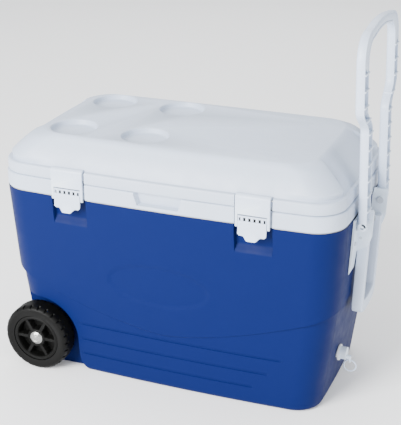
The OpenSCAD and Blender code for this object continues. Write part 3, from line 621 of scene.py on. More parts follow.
@dataclass
class TubSkin:
    """Blue outer skin of the tub, with its wave, grooves, pockets and wheel wells.

    Attributes:
        wave_low: Height of the wave's lowest point.
        wave_rise: How far it climbs towards the ends.
        wave_step: How far the skin above the wave stands out.
        pocket_half: Half the width of a latch pocket.
        pocket_depth: Depth of a latch pocket.
        groove_depth: Depth of the long grooves.
        well_radius: Radius of a wheel well.
        well_inner: Distance of a well's inner wall from the middle.
        axle: (x, z) of the wheels' axle.
        grooves: (height, left end, right end) of the long grooves.
        oval: (x, z) of the middle of the sunk oval.
        oval_half: Half its length and half its height.
        oval_depth: How far it is sunk.
        drain: (y, z) of the drain's bore.
        drain_radius: Radius of the bore.
    """

    wave_low: float = 122.0
    wave_rise: float = 80.0
    wave_step: float = 4.0
    pocket_half: float = NOTCH_HALF
    pocket_depth: float = 10.0
    groove_depth: float = 2.0
    well_radius: float = 83.0
    well_inner: float = 138.8
    axle: Flat = (-275.0, 70.0)
    grooves: tuple[tuple[float, float, float], ...] = (
        (109.8, -186.0, 239.0), (74.9, -188.0, 212.0), (41.1, -186.0, 182.0))
    oval: Flat = (-8.0, 228.0)
    oval_half: Flat = (103.0, 42.0)
    oval_depth: float = 1.8
    drain: Flat = (-45.0, 86.0)
    drain_radius: float = 11.2

    def wave(self, x: float) -> float:
        """Height of the wave at a place along the tub."""
        return self.wave_low + self.wave_rise * (abs(x) / 299.5) ** 1.5

    def upper(self, z: float) -> Flat:
        """Half-length and half-width of the skin above the wave."""
        return (RIM.half_length - 0.045 * (TUB_TOP - z), RIM.half_width - 0.072 * (TUB_TOP - z))

    def lower(self, z: float) -> Flat:
        """Size of the skin below the wave.

        Args:
            z: The height.

        Returns:
            Half-length and half-width.
        """
        top = self.upper(226.0)
        share = z / 226.0
        base = (RIM.half_length - 39.0, RIM.half_width - 28.0)
        return (base[0] + (top[0] - self.wave_step - base[0]) * share,
                base[1] + (top[1] - self.wave_step - base[1]) * share)

    def heights(self, x: float) -> list[tuple[float, float]]:
        """Rows of the skin at a place along the tub.

        Args:
            x: The place.

        Returns:
            (height, share of the upper skin) from the bottom to the top.
        """
        edge = self.wave(x)
        fixed = set(round(z, 2) for z in spread(10.0, 114.0, 4.0))
        for z, _, _ in self.grooves:
            fixed = {v for v in fixed if abs(v - z) > 3.4}
            fixed |= {z + d for d in (-3.2, -2.4, -1.6, -0.6, 0.6, 1.6, 2.4, 3.2)}
        rows = [(z, 0.0) for z in sorted(fixed)]
        start = rows[-1][0]
        rows += [(z, 0.0) for z in (start + (edge - 4.0 - start) * i / 14 for i in range(1, 15))]
        for d in (-3.0, -2.2, -1.4, -0.6, 0.2, 1.0, 1.8, 2.6):
            rows.append((edge + d, smooth((d + 2.2) / 3.2)))
        start = rows[-1][0]
        rows += [(start + (324.0 - start) * i / 44, 1.0) for i in range(1, 45)]
        rows += [(z, 1.0) for z in (328.5, 330.5, 332, 335, 338, 341, 344, 346.2, 347.8, 350,
                                    356, 362, 368, 374, 380, 385, TUB_TOP)]
        return rows

    def pocket(self, x: float, z: float) -> float:
        """Depth of a latch pocket.

        Args:
            x: Place along the front.
            z: Height on the front.

        Returns:
            The depth there.
        """
        across = smooth((self.pocket_half - abs(abs(x) - LATCH_X) + 0.7) / 1.6)
        up = smooth((z - 330.5) / 17.0) * 0.5 + 0.5 * min(1.0, max(0.0, (z - 330.5) / 16.5))
        return self.pocket_depth * across * up

    def groove(self, x: float, z: float) -> float:
        """Depth of the grooves and of the sunk oval.

        Args:
            x: Place along the front.
            z: Height on the front.

        Returns:
            The depth there.
        """
        depth = 0.0
        for height, left, right in self.grooves:
            across = smooth((2.3 - abs(z - height)) / 0.9)
            ends = smooth((x - left) / 6.0) * smooth((right - x) / 6.0)
            depth = max(depth, self.groove_depth * across * ends)
        oval = math.hypot((x - self.oval[0]) / self.oval_half[0],
                          (z - self.oval[1]) / self.oval_half[1])
        depth = max(depth, self.oval_depth * smooth((1.02 - oval) / 0.04))
        return depth

    def columns(self) -> list[float]:
        """Chooses the columns of points along the front, closer at the pockets' sides.

        Returns:
            Places along the front, in order.
        """
        half = RIM.half_length - RIM.corner
        places = set(round(x, 2) for x in spread(-half, half, 4.5)[1:-1])
        for side in (-1, 1):
            for edge in (-self.pocket_half, self.pocket_half):
                x = side * LATCH_X + edge
                places = {v for v in places if abs(v - x) > 1.6}
                places |= {x - 1.2, x - 0.5, x + 0.2, x + 0.9}
        return sorted(places)

    def surface(self) -> Shape:
        """The outer surface, closed at the top and bottom.

        Returns:
            The shape.
        """
        outline = RIM.outline(front=self.columns(), pitch=5.0)
        columns = []
        for x0, y0 in outline:
            column: list[Point] = []
            for t in (0.0, 18.0, 36.0, 54.0, 72.0):
                z = 9.0 * (1.0 - math.cos(math.radians(t)))
                a, b = self.lower(z)
                inset = 9.0 * (1.0 - math.sin(math.radians(t)))
                column.append((x0 * (a - inset) / RIM.half_length,
                               y0 * (b - inset) / RIM.half_width, z))
            for z, share in self.heights(x0 * 0.975):
                a0, b0 = self.lower(min(z, 226.0))
                a1, b1 = self.upper(z)
                a, b = a0 + (a1 - a0) * share, b0 + (b1 - b0) * share
                x, y = x0 * a / RIM.half_length, y0 * b / RIM.half_width
                if y0 < 0 and abs(x0) < RIM.half_length - RIM.corner:
                    y += self.pocket(x, z) + self.groove(x, z)
                column.append((x, y, z))
            columns.append(column)
        shape = Shape()
        shape.rings([[c[k] for c in columns] for k in range(len(columns[0]))])
        return shape

    def well_cutter(self, side: int) -> bpy.types.Object:
        """One wheel well, as a piece to cut with.

        Args:
            side: -1 for the front, 1 for the rear.

        Returns:
            The cutter.
        """
        x, z = self.axle
        r = self.well_radius
        outline = arc((x, z), r, 0.0, 90.0, 32)
        outline += [(x - 120.0, z + r), (x - 120.0, -3.0), (x + r + 23.0, -3.0)]
        outline += [(x + r + 17.0, 4.0), (x + r + 11.0, 9.0), (x + r + 6.0, 15.0),
                    (x + r + 2.5, 23.0), (x + r + 0.6, 34.0), (x + r, 48.0)]
        shape = Shape()
        low, high = sorted((side * self.well_inner, side * 260.0))
        shape.rings([[(u, low, v) for u, v in outline], [(u, high, v) for u, v in outline]])
        return shape.object(f"well_cutter_{side}")

    def build(self) -> None:
        """Builds the skin, cuts the wells and the drain's bore, and opens the top."""
        skin = self.surface().object("tub_skin", crease=28.0)
        bore = Shape()
        bore.turned([(self.drain_radius, 0.0), (self.drain_radius, 80.0)], 48)
        seat = bore.object("drain_bore", Matrix.Translation((280.0, *self.drain)) @ ALONG_X)
        carve(skin, [self.well_cutter(-1), self.well_cutter(1), seat], 28.0)
        work = bmesh.new()
        work.from_mesh(skin.data)
        top = [f for f in work.faces
               if f.normal.z > 0.95 and f.calc_center_median().z > (TUB_TOP - 0.5) * MM]
        bmesh.ops.delete(work, geom=top, context="FACES")
        work.to_mesh(skin.data)
        work.free()
        place(skin, TUB_BLUE, "cooler_body", "tub_shell")


@dataclass
class Collar:
    """White collar that caps the tub, with the latch notches and the finger recess.

    Attributes:
        mouth: Half-length and half-width of the mouth.
        recess_depth: Depth of the finger recess.
    """

    mouth: Flat = (304.5, 148.5)
    recess_depth: float = 12.0

    def recess_cutter(self) -> bpy.types.Object:
        """Makes the finger recess with its sloping sides, to cut with.

        Returns:
            The cutter.
        """
        y = -RIM.half_width + self.recess_depth
        shape = Shape()
        back = [(-38.5, y, 397.5), (38.5, y, 397.5), (45.5, y, 421.0), (-45.5, y, 421.0)]
        front = [(-43.0, y - 20.0, 394.5), (43.0, y - 20.0, 394.5), (51.5, y - 20.0, 421.0),
                 (-51.5, y - 20.0, 421.0)]
        shape.rings([front, back])
        return shape.object("recess_cutter")

    def build(self) -> None:
        """Builds the collar and cuts its notches and recess."""
        outer = RIM.outline(pitch=5.0)
        inner = RIM.outline(corner=45.0, pitch=5.0)
        count = len(outer)
        picked = [inner[round(i * len(inner) / count) % len(inner)] for i in range(count)]
        a, b = RIM.half_length, RIM.half_width
        rows = [RIM.scaled(outer, a - d, b - d, z) for d, z in (
            (3.2, TUB_TOP), (1.5, TUB_TOP + 0.1), (1.5, 389.2), (0.5, 389.6), (0.0, 390.4),
            (0.0, 416.6), (0.4, 418.0), (1.4, 419.1), (3.0, RIM_TOP))]
        rows += [RIM.scaled(picked, self.mouth[0] + d, self.mouth[1] + d, z) for d, z in (
            (1.0, RIM_TOP), (0.2, 419.2), (0.0, 418.4), (0.0, TUB_TOP))]
        shape = Shape()
        shape.hoop(rows)
        collar = shape.object("collar_ring")
        cutters = [self.recess_cutter()]
        for side in (-1, 1):
            x = side * LATCH_X
            cutters.append(box_cutter(f"notch_cutter_{side}",
                                      (x - NOTCH_HALF, LATCH_FRONT - 20, 380.0),
                                      (x + NOTCH_HALF, LATCH_FRONT + NOTCH_DEPTH, 430.0)))
        carve(collar, cutters)
        place(collar, LID_WHITE, "cooler_body", "rim_collar")


# ---------------------------------------------------------------- lid


@dataclass
class LidSkin:
    """Domed outer shell of the lid with its cup recesses.

    Attributes:
        end_inset: How far the ends stay inside the collar's.
        crown_inset: Insets of the flat top, along and across.
        cup_radius: Radius of a cup recess.
        cup_depth: Depth of a cup recess.
        cup_middle: Middle of the group of cups.
        cup_step: Half the distance between cups, along and across.
        barrel_room: Radius of the room for a latch's barrel.
    """

    end_inset: float = 2.7
    crown_inset: Flat = (63.0, 41.5)
    cup_radius: float = 45.0
    cup_depth: float = 11.0
    cup_middle: Flat = (-141.4, 2.7)
    cup_step: Flat = (75.35, 91.45)
    barrel_room: float = 9.0

    def profile(self) -> list[tuple[float, float, float]]:
        """Steps from the flange's foot to the flat top.

        Returns:
            (inset along, inset across, height) for each ring.
        """
        e = self.end_inset
        rows = [(e + 3.4, 3.4, FLANGE_LOW), (e + 1.4, 1.4, 421.2), (e + 0.4, 0.4, 422.4),
                (e, 0.0, 424.2), (e, 0.0, 439.6), (e + 0.35, 0.35, 441.3),
                (e + 1.2, 1.2, 442.7), (e + 2.6, 2.6, 443.5), (e + 4.4, 4.2, FLANGE_TOP),
                (e + 6.4, 6.0, 443.9), (e + 7.6, 7.2, 444.4)]
        foot, edge = (e + 8.4, 8.0, 445.6), (self.crown_inset[0] - 8.0, self.crown_inset[1] - 6.5,
                                            487.8)
        for i in range(11):
            t = i / 10
            bulge = math.sin(math.pi * t) * 1.6
            rows.append((foot[0] + (edge[0] - foot[0]) * t - bulge,
                         foot[1] + (edge[1] - foot[1]) * t - bulge,
                         foot[2] + (edge[2] - foot[2]) * t + bulge * 0.6))
        for i in range(1, 7):
            t = i / 6
            rows.append((edge[0] + 16.0 * t, edge[1] + 13.0 * t,
                         487.8 + (CROWN_TOP - 487.8) * math.sin(math.pi / 2 * t) ** 0.9))
        return rows

    def dent(self, x: float, y: float, z: float) -> Point:
        """Sinks a flatter panel in each end's bevel and fills out the corners beside it.

        Args:
            x: Place along.
            y: Place across.
            z: Height.

        Returns:
            The moved point.
        """
        rise = smooth((z - 446.0) / 8.0) * smooth((CROWN_TOP - z) / 10.0)
        half = 128.0 - 0.62 * (z - 444.0)
        panel = smooth((half - abs(y)) / 6.0) * smooth((abs(x) - 262.0) / 10.0)
        pillow = (1.0 - panel) * smooth((abs(x) - 215.0) / 50.0) * smooth((abs(y) - 70.0) / 30.0)
        x += math.copysign(8.5 * pillow - 2.2 * panel, x) * rise
        y += math.copysign(5.5 * pillow, y) * rise
        return (x, y, z)

    def build(self) -> None:
        """Builds the shell, then cuts the cups, the latch notches and the underside."""
        outline = RIM.outline(pitch=3.2)
        a, b = RIM.half_length, RIM.half_width
        rows = [RIM.scaled(outline, a - p, b - q, z) for p, q, z in self.profile()]
        rows = [[self.dent(*p) for p in row] for row in rows]
        shape = Shape()
        shape.rings(rows, caps=True)
        lid = shape.object("lid_dome", crease=30.0)
        cutters = [self.cup_cutter(i, j) for i in (-1, 1) for j in (-1, 1)]
        for side in (-1, 1):
            x = side * LATCH_X
            cutters.append(box_cutter(f"lid_notch_{side}",
                                      (x - NOTCH_HALF, LATCH_FRONT - 20, 410.0),
                                      (x + NOTCH_HALF, LATCH_FRONT + NOTCH_DEPTH,
                                       FLANGE_TOP + 3.0)))
            room = Shape()
            room.turned([(self.barrel_room, -NOTCH_HALF), (self.barrel_room, NOTCH_HALF)], 40)
            where = Matrix.Translation((x, LATCH_FRONT + 3.0, 439.8))
            cutters.append(room.object(f"barrel_room_{side}", where @ ALONG_X))
        cutters.append(self.facet_cutter())
        inner = Shape()
        inner.rings([RIM.scaled(outline, a - self.end_inset - 3, b - 3, 400.0),
                     RIM.scaled(outline, a - self.end_inset - 3, b - 3, 426.0)])
        cutters.append(inner.object("lid_inner_cutter"))
        carve(lid, cutters, 30.0)
        place(lid, LID_WHITE, "lid", "lid_shell")

    def facet_cutter(self) -> bpy.types.Object:
        """Makes the shallow facet along the right half of the top's front edge, to cut with.

        Returns:
            The cutter.
        """
        near, far = (-62.0, -52.0), (292.0, -118.0)
        shape = Shape()
        low = [(*near, CROWN_TOP), (near[0] + 10.0, -152.0, CROWN_TOP - 0.5),
               (far[0] + 30.0, -160.0, CROWN_TOP - 3.4),
               (far[0] + 30.0, far[1] - 5.0, CROWN_TOP - 0.1)]
        shape.rings([low, [(x, y, CROWN_TOP + 20.0) for x, y, _ in low]])
        return shape.object("facet_cutter")

    def cup_cutter(self, i: int, j: int) -> bpy.types.Object:
        """One cup recess with a soft lip and a rounded floor edge, as a piece to cut with.

        Args:
            i: -1 or 1 along.
            j: -1 or 1 across.

        Returns:
            The cutter.
        """
        r, d = self.cup_radius, self.cup_depth
        profile = [(1.0, -d), (r - 6.0, -d), (r - 3.4, -d + 0.8), (r - 1.8, -d + 2.4),
                   (r - 1.0, -d + 4.6), (r - 0.4, -3.2), (r + 0.2, -1.6), (r + 1.2, -0.6),
                   (r + 2.6, 0.0), (r + 4.0, 0.25), (r + 4.0, 12.0), (1.0, 12.0)]
        shape = Shape()
        shape.turned(profile, 72)
        x = self.cup_middle[0] + i * self.cup_step[0]
        y = self.cup_middle[1] + j * self.cup_step[1]
        return shape.object(f"cup_cutter_{i}_{j}", Matrix.Translation((x, y, CROWN_TOP)))


# ---------------------------------------------------------------- latches


@dataclass
class Latch:
    """One front latch: a plate that hangs from the lid and a lever in it.

    Attributes:
        name: left or right.
        x: Place along the front.
        half: Half the plate's width.
        barrel: Radius of the plate's barrel.
        thick: Thickness of the plate.
    """

    name: str
    x: float
    half: float = 32.5
    barrel: float = 8.0
    thick: float = 4.0

    @property
    def pin(self) -> Flat:
        """(y, z) of the plate's pin."""
        return (LATCH_FRONT + 3.0, 439.8)

    def plate(self) -> None:
        """Builds the plate: a rounded top, a flat face, a slot and two side rails."""
        y, z = self.pin
        face = y - self.barrel
        side = arc((y, z), self.barrel, 180.0, -60.0, 20)
        side += [(y + 1.5, z - self.barrel - 1.0), (face + self.thick, z - 12.0),
                 (face + self.thick, z - 30.0), (face, z - 30.0)]
        shape = Shape()
        shape.rings([[(u, v, w) for u, v in side] for w in (-self.half, self.half)])
        plate = shape.object(f"latch_plate_{self.name}_face",
                             Matrix.Translation((self.x, 0, 0)) @ ALONG_X)
        for s in (-1, 1):
            rail = Shape()
            low, high = sorted((s * self.half, s * (self.half - 4.8)))
            outline = [(face, z - 26.0), (face, z - 52.0), (face + 1.0, z - 55.0),
                       (face + self.thick, z - 55.0), (face + self.thick, z - 26.0)]
            rail.rings([[(u, v, w) for u, v in outline] for w in (low, high)])
            part = rail.object(f"latch_rail_{self.name}_{s}",
                               Matrix.Translation((self.x, 0, 0)) @ ALONG_X)
            join = plate.modifiers.new("join", "BOOLEAN")
            join.operation = "UNION"
            join.solver = "EXACT"
            join.object = part
            settle(plate)
            bpy.data.objects.remove(part)
        round_edges(plate, 1.1)
        place(plate, HANDLE_WHITE, f"latch_{self.name}", f"latch_plate_{self.name}")

    def lever(self) -> None:
        """Builds the lever: a roll at its pivot and a flap with a curved finger lip."""
        y, z = self.pin
        face = y - self.barrel
        pivot = (face + self.thick / 2, z - 34.5)
        across = spread(-27.0, 27.0, 1.5)
        rows = []
        for u in across:
            share = abs(u) / 27.0
            lip = smooth((1.0 - abs(u) / 17.5) / 0.6)
            foot = z - 70.5 - 7.6 * lip + 3.0 * smooth((share - 0.86) / 0.14)
            flare = 1.2 + 4.5 * lip
            section = arc(pivot, 1.8, 100.0, 190.0, 6)
            section += [(face + 1.3, z - 37.0), (face + 1.3, z - 42.0), (face - 0.4, z - 43.2),
                        (face - 1.0, z - 44.4), (face - 1.0, z - 57.0),
                        (face - 1.3 - 0.25 * flare, z - 63.5),
                        (face - 1.3 - 0.7 * flare, foot + 3.0), (face - 1.1 - flare, foot + 0.4),
                        (face - 0.5 - flare, foot), (face + 1.0 - flare, foot + 0.6),
                        (face + 2.0 - 0.6 * flare, foot + 4.5), (face + 2.3, z - 60.0),
                        (face + 2.5, z - 48.0), (face + 2.6, z - 39.5)]
            section += arc(pivot, 1.8, -40.0, 60.0, 5)
            rows.append([(self.x + u, v, w) for v, w in section])
        shape = Shape()
        shape.rings(rows)
        lever = shape.object(f"lever_flap_{self.name}", crease=42.0)
        round_edges(lever, 0.7, 2, 50.0)
        # Painted shade: a dark strip behind the pads stands for the shadow in the lever's hollow
        # window.
        shade_strip = box_cutter(f"lever_painted_shade_{self.name}", (self.x - 24.5, face + 0.7, z - 42.3),
                            (self.x + 24.5, face + 1.5, z - 36.2))
        place(shade_strip, WHEEL_BLACK, f"lever_{self.name}")
        for k in range(-2, 3):
            low = (self.x + 9.6 * k - 2.6, face - 0.7, z - 42.2)
            pad = box_cutter(f"lever_pad_{self.name}_{k + 2}", low,
                             (low[0] + 5.2, face + 2.4, z - 34.4))
            round_edges(pad, 1.0, 3)
            place(pad, HANDLE_WHITE, f"lever_{self.name}")
        place(lever, HANDLE_WHITE, f"lever_{self.name}", f"latch_lever_{self.name}")

    def build(self) -> None:
        """Builds both moving pieces."""
        self.plate()
        self.lever()


# ---------------------------------------------------------------- handles


@dataclass
class TowHandle:
    """Fold-up tow handle: a ribbed channel that opens to +X, in the shape of an arch.

    Attributes:
        pivot: (x, z) of its pins.
        height: Height above the pins.
        low: Half the distance between the lower arms' outer faces.
        high: Half the distance between the upper arms' outer faces.
        arm: Width of an arm.
        bar: Height of the top bar.
        deep: Depth of an arm.
        wall: Thickness of the channel.
        lean: Lean towards the lid, in degrees.
        pitch: Distance between ribs.
    """

    pivot: Flat = (359.5, 374.0)
    height: float = 366.0
    low: float = 91.5
    high: float = 131.0
    arm: float = 30.0
    bar: float = 18.0
    deep: float = 17.0
    wall: float = 3.0
    lean: float = 1.8
    pitch: float = 29.0

    def half_arch(self, low: float, high: float, top: float, r: float,
                  foot: float) -> list[Flat]:
        """One side of an arch, from an arm's foot to the middle of the top.

        Args:
            low: Distance of the lower arm from the middle.
            high: Distance of the upper arm.
            top: Height of the top's middle.
            r: Radius of the corner.
            foot: Height of the arm's foot.

        Returns:
            (across, height) points.
        """
        points = [(low, z) for z in spread(foot, 180.0, 6.0)]
        for i in range(1, 13):
            t = i / 12
            points.append((low + (high - low) * smooth(t), 180.0 + 46.0 * t))
        start = top - 7.0 - r
        points += [(high, z) for z in spread(226.0, start, 6.0)[1:]]
        points += arc((high - r, start), r, 0.0, 80.0, 12)[1:]
        points += [((high - r) * u, top - 8.0 * u * u)
                   for u in (0.9, 0.75, 0.6, 0.45, 0.3, 0.15, 0.0)]
        return points

    def loop(self, t: float) -> tuple[list[Flat], list[Flat]]:
        """The arch's outer and inner edges, drawn in by t.

        Args:
            t: How far both edges move into the band.

        Returns:
            Outer and inner edges, with the same number of points.
        """
        outer = self.half_arch(self.low - t, self.high - t, self.height - t, 50.0 - t, 0.0)
        inner = self.half_arch(self.low - self.arm + t, self.high - self.arm + t,
                               self.height - self.bar + t, 34.0 + t, 0.0)
        outer, inner = stepped(outer, 110), stepped(inner, 110)
        return self.mirrored(outer), self.mirrored(inner)

    @staticmethod
    def mirrored(side: list[Flat]) -> list[Flat]:
        """The whole arch, foot to foot, from one side's path."""
        return [(-y, z) for y, z in side[:-1]] + list(reversed(side))

    def channel(self) -> Shape:
        """The channel itself, with rounded corners on its closed side.

        Returns:
            The shape, round its pins and upright.
        """
        h = self.deep / 2
        levels = [(-h, 8.0), (-h + 0.3, 5.8), (-h + 1.1, 3.9), (-h + 2.4, 2.1), (-h + 4.2, 0.8),
                  (-h + 6.4, 0.15), (-h + 8.0, 0.0),
                  (h - 0.8, 0.0), (h - 0.2, 0.3), (h, 1.0), (h, self.wall - 0.6),
                  (h - 0.6, self.wall), (-h + 9.0, self.wall + 0.2),
                  (-h + self.wall + 2.0, self.wall + 4.0),
                  (-h + self.wall, self.wall + 7.5)]
        shape = Shape()
        rows = []
        for x, t in levels:
            outer, inner = self.loop(t)
            rows.append([(x, y, z) for y, z in outer + inner[::-1]])
        shape.band(rows)
        return shape

    def top_fill(self) -> Shape:
        """The solid middle of the top bar, between the channel's walls.

        Returns:
            The shape, round its pins and upright.
        """
        outer, inner = self.loop(self.wall - 0.6)
        low, high = 2.6 - self.deep / 2, self.deep / 2 - 0.3
        rows = []
        for (y0, z0), (y1, z1) in zip(outer, inner):
            if z0 < self.height - 62.0:
                continue
            span = math.hypot(y1 - y0, z1 - z0)
            row = []
            for x, inset in ((low, 0.0), (high - 3.0, 0.0), (high - 0.9, 0.9), (high, 3.0)):
                t = inset / span
                row.append((x, y0 + (y1 - y0) * t, z0 + (z1 - z0) * t))
            for x, inset in ((high, 3.0), (high - 0.9, 0.9), (high - 3.0, 0.0), (low, 0.0)):
                t = 1.0 - inset / span
                row.append((x, y0 + (y1 - y0) * t, z0 + (z1 - z0) * t))
            rows.append(row)
        shape = Shape()
        shape.rings(rows)
        return shape

    def build(self) -> None:
        """Builds the channel, its ribs, the filled bar and the rounded ends at the pins."""
        lean = (Matrix.Translation((self.pivot[0], 0, self.pivot[1]))
                @ Matrix.Rotation(-math.radians(self.lean), 4, "Y"))
        handle = self.channel().object("tow_channel", lean, crease=40.0)
        place(self.top_fill().object("tow_bar_fill", lean, crease=50.0), HANDLE_WHITE, "tow_arm")
        h = self.deep / 2
        ribs = Shape()
        for k in range(1, 11):
            z = k * self.pitch
            for side in (-1, 1):
                y0, y1 = self.rib_span(z)
                low, high = sorted((side * y0, side * y1))
                row = [(low, z), (high, z), (high, z + 2.6), (low, z + 2.6)]
                ribs.rings([[(x, y, w) for y, w in row] for x in (-h + 3.5, h + 1.9)])
        rib_piece = ribs.object("tow_ribs", lean, crease=40.0)
        round_edges(rib_piece, 0.5, 2)
        place(rib_piece, HANDLE_WHITE, "tow_arm")
        for side, label in ((-1, "front"), (1, "rear")):
            end = Shape()
            profile = [(4.05, 0.0), (h - 1.0, 0.0), (h - 0.3, 0.3), (h, 1.0), (h, self.arm - 1.0),
                       (h - 0.3, self.arm - 0.3), (h - 1.0, self.arm), (4.05, self.arm)]
            end.hoop([circle(r, z, 40) for r, z in profile])
            y = self.low if side > 0 else self.arm - self.low
            turn = Matrix.Translation((self.pivot[0], y, self.pivot[1]))
            turn = turn @ Matrix.Rotation(math.pi / 2, 4, "X")
            place(end.object(f"tow_end_{label}", turn, crease=40.0), HANDLE_WHITE, "tow_arm")
        place(handle, HANDLE_WHITE, "tow_arm", "tow_handle")

    def rib_span(self, z: float) -> Flat:
        """Inner and outer faces of an arm.

        Args:
            z: Height above the pins.

        Returns:
            How far out each face is.
        """
        t = smooth((z - 180.0) / 46.0)
        outer = self.low + (self.high - self.low) * t
        return (outer - self.arm + 0.3, outer - 0.3)


@dataclass
class CarryHandle:
    """Hanging carry handle: two arms and a grip bar.

    Attributes:
        name: right or left.
        side: 1 at the right end, -1 at the left.
        pivot: (x, z) of its pins at the right end.
        half: Half its width.
        arm: Width of an arm.
        drop: Length below the pins.
        bar: Height of the grip bar.
        lean: How far it leans in as it goes down.
    """

    name: str
    side: int
    pivot: Flat = (351.5, 341.0)
    half: float = 54.0
    arm: float = 14.0
    drop: float = 168.0
    bar: float = 26.0
    lean: float = 0.038

    def loop(self, t: float) -> list[Flat]:
        """The handle's edge drawn in by t, from one arm's top round to the other's.

        Args:
            t: How far the edge moves in.

        Returns:
            (across, height) points of the closed edge.
        """
        out, inn = self.half - t, self.half - self.arm + t
        low = -self.drop + t
        right = [(out, 6.0 - t)] + [(out, z) for z in spread(0.0, low + 26.0, 8.0)]
        right += arc((out - 20.0 + t, low + 24.0 - t), 20.0 - t, 0.0, -80.0, 10)
        right += [(out * 0.4, low + 0.8), (0.0, low)]
        right = stepped(right, 64)
        outer = right + [(-y, z) for y, z in reversed(right)][1:]
        rise = -self.drop + self.bar - t
        inside = [(inn, 6.0 - t)] + [(inn, z) for z in spread(0.0, rise + 14.0, 8.0)]
        inside += arc((inn - 9.0 - t, rise + 12.0 + t), 9.0 + t, 0.0, -80.0, 8)
        inside += [(inn * 0.35, rise + 0.6), (0.0, rise)]
        inside = stepped(inside, 64)
        inner = inside + [(-y, z) for y, z in reversed(inside)][1:]
        return outer + list(reversed(inner))

    def build(self) -> None:
        """Builds the handle with rounded edges and pierced ends."""
        levels = [(-6.3, 2.4), (-6.0, 1.2), (-5.2, 0.4), (-4.0, 0.0), (12.0, 0.0), (13.6, 0.5),
                  (14.4, 1.5), (14.7, 3.2)]
        shape = Shape()
        rows = []
        for x, t in levels:
            rows.append([(x + self.lean * z, y, z) for y, z in self.loop(t)])
        shape.band(rows)
        turn = Matrix.Translation((self.side * self.pivot[0], 0, self.pivot[1]))
        if self.side < 0:
            turn = turn @ Matrix.Diagonal((-1, 1, 1, 1))
        piece = shape.object(f"grip_{self.name}", turn, crease=40.0)
        place(piece, HANDLE_WHITE, f"{self.name}_grip", f"carry_handle_{self.name}")


# ---------------------------------------------------------------- wheels


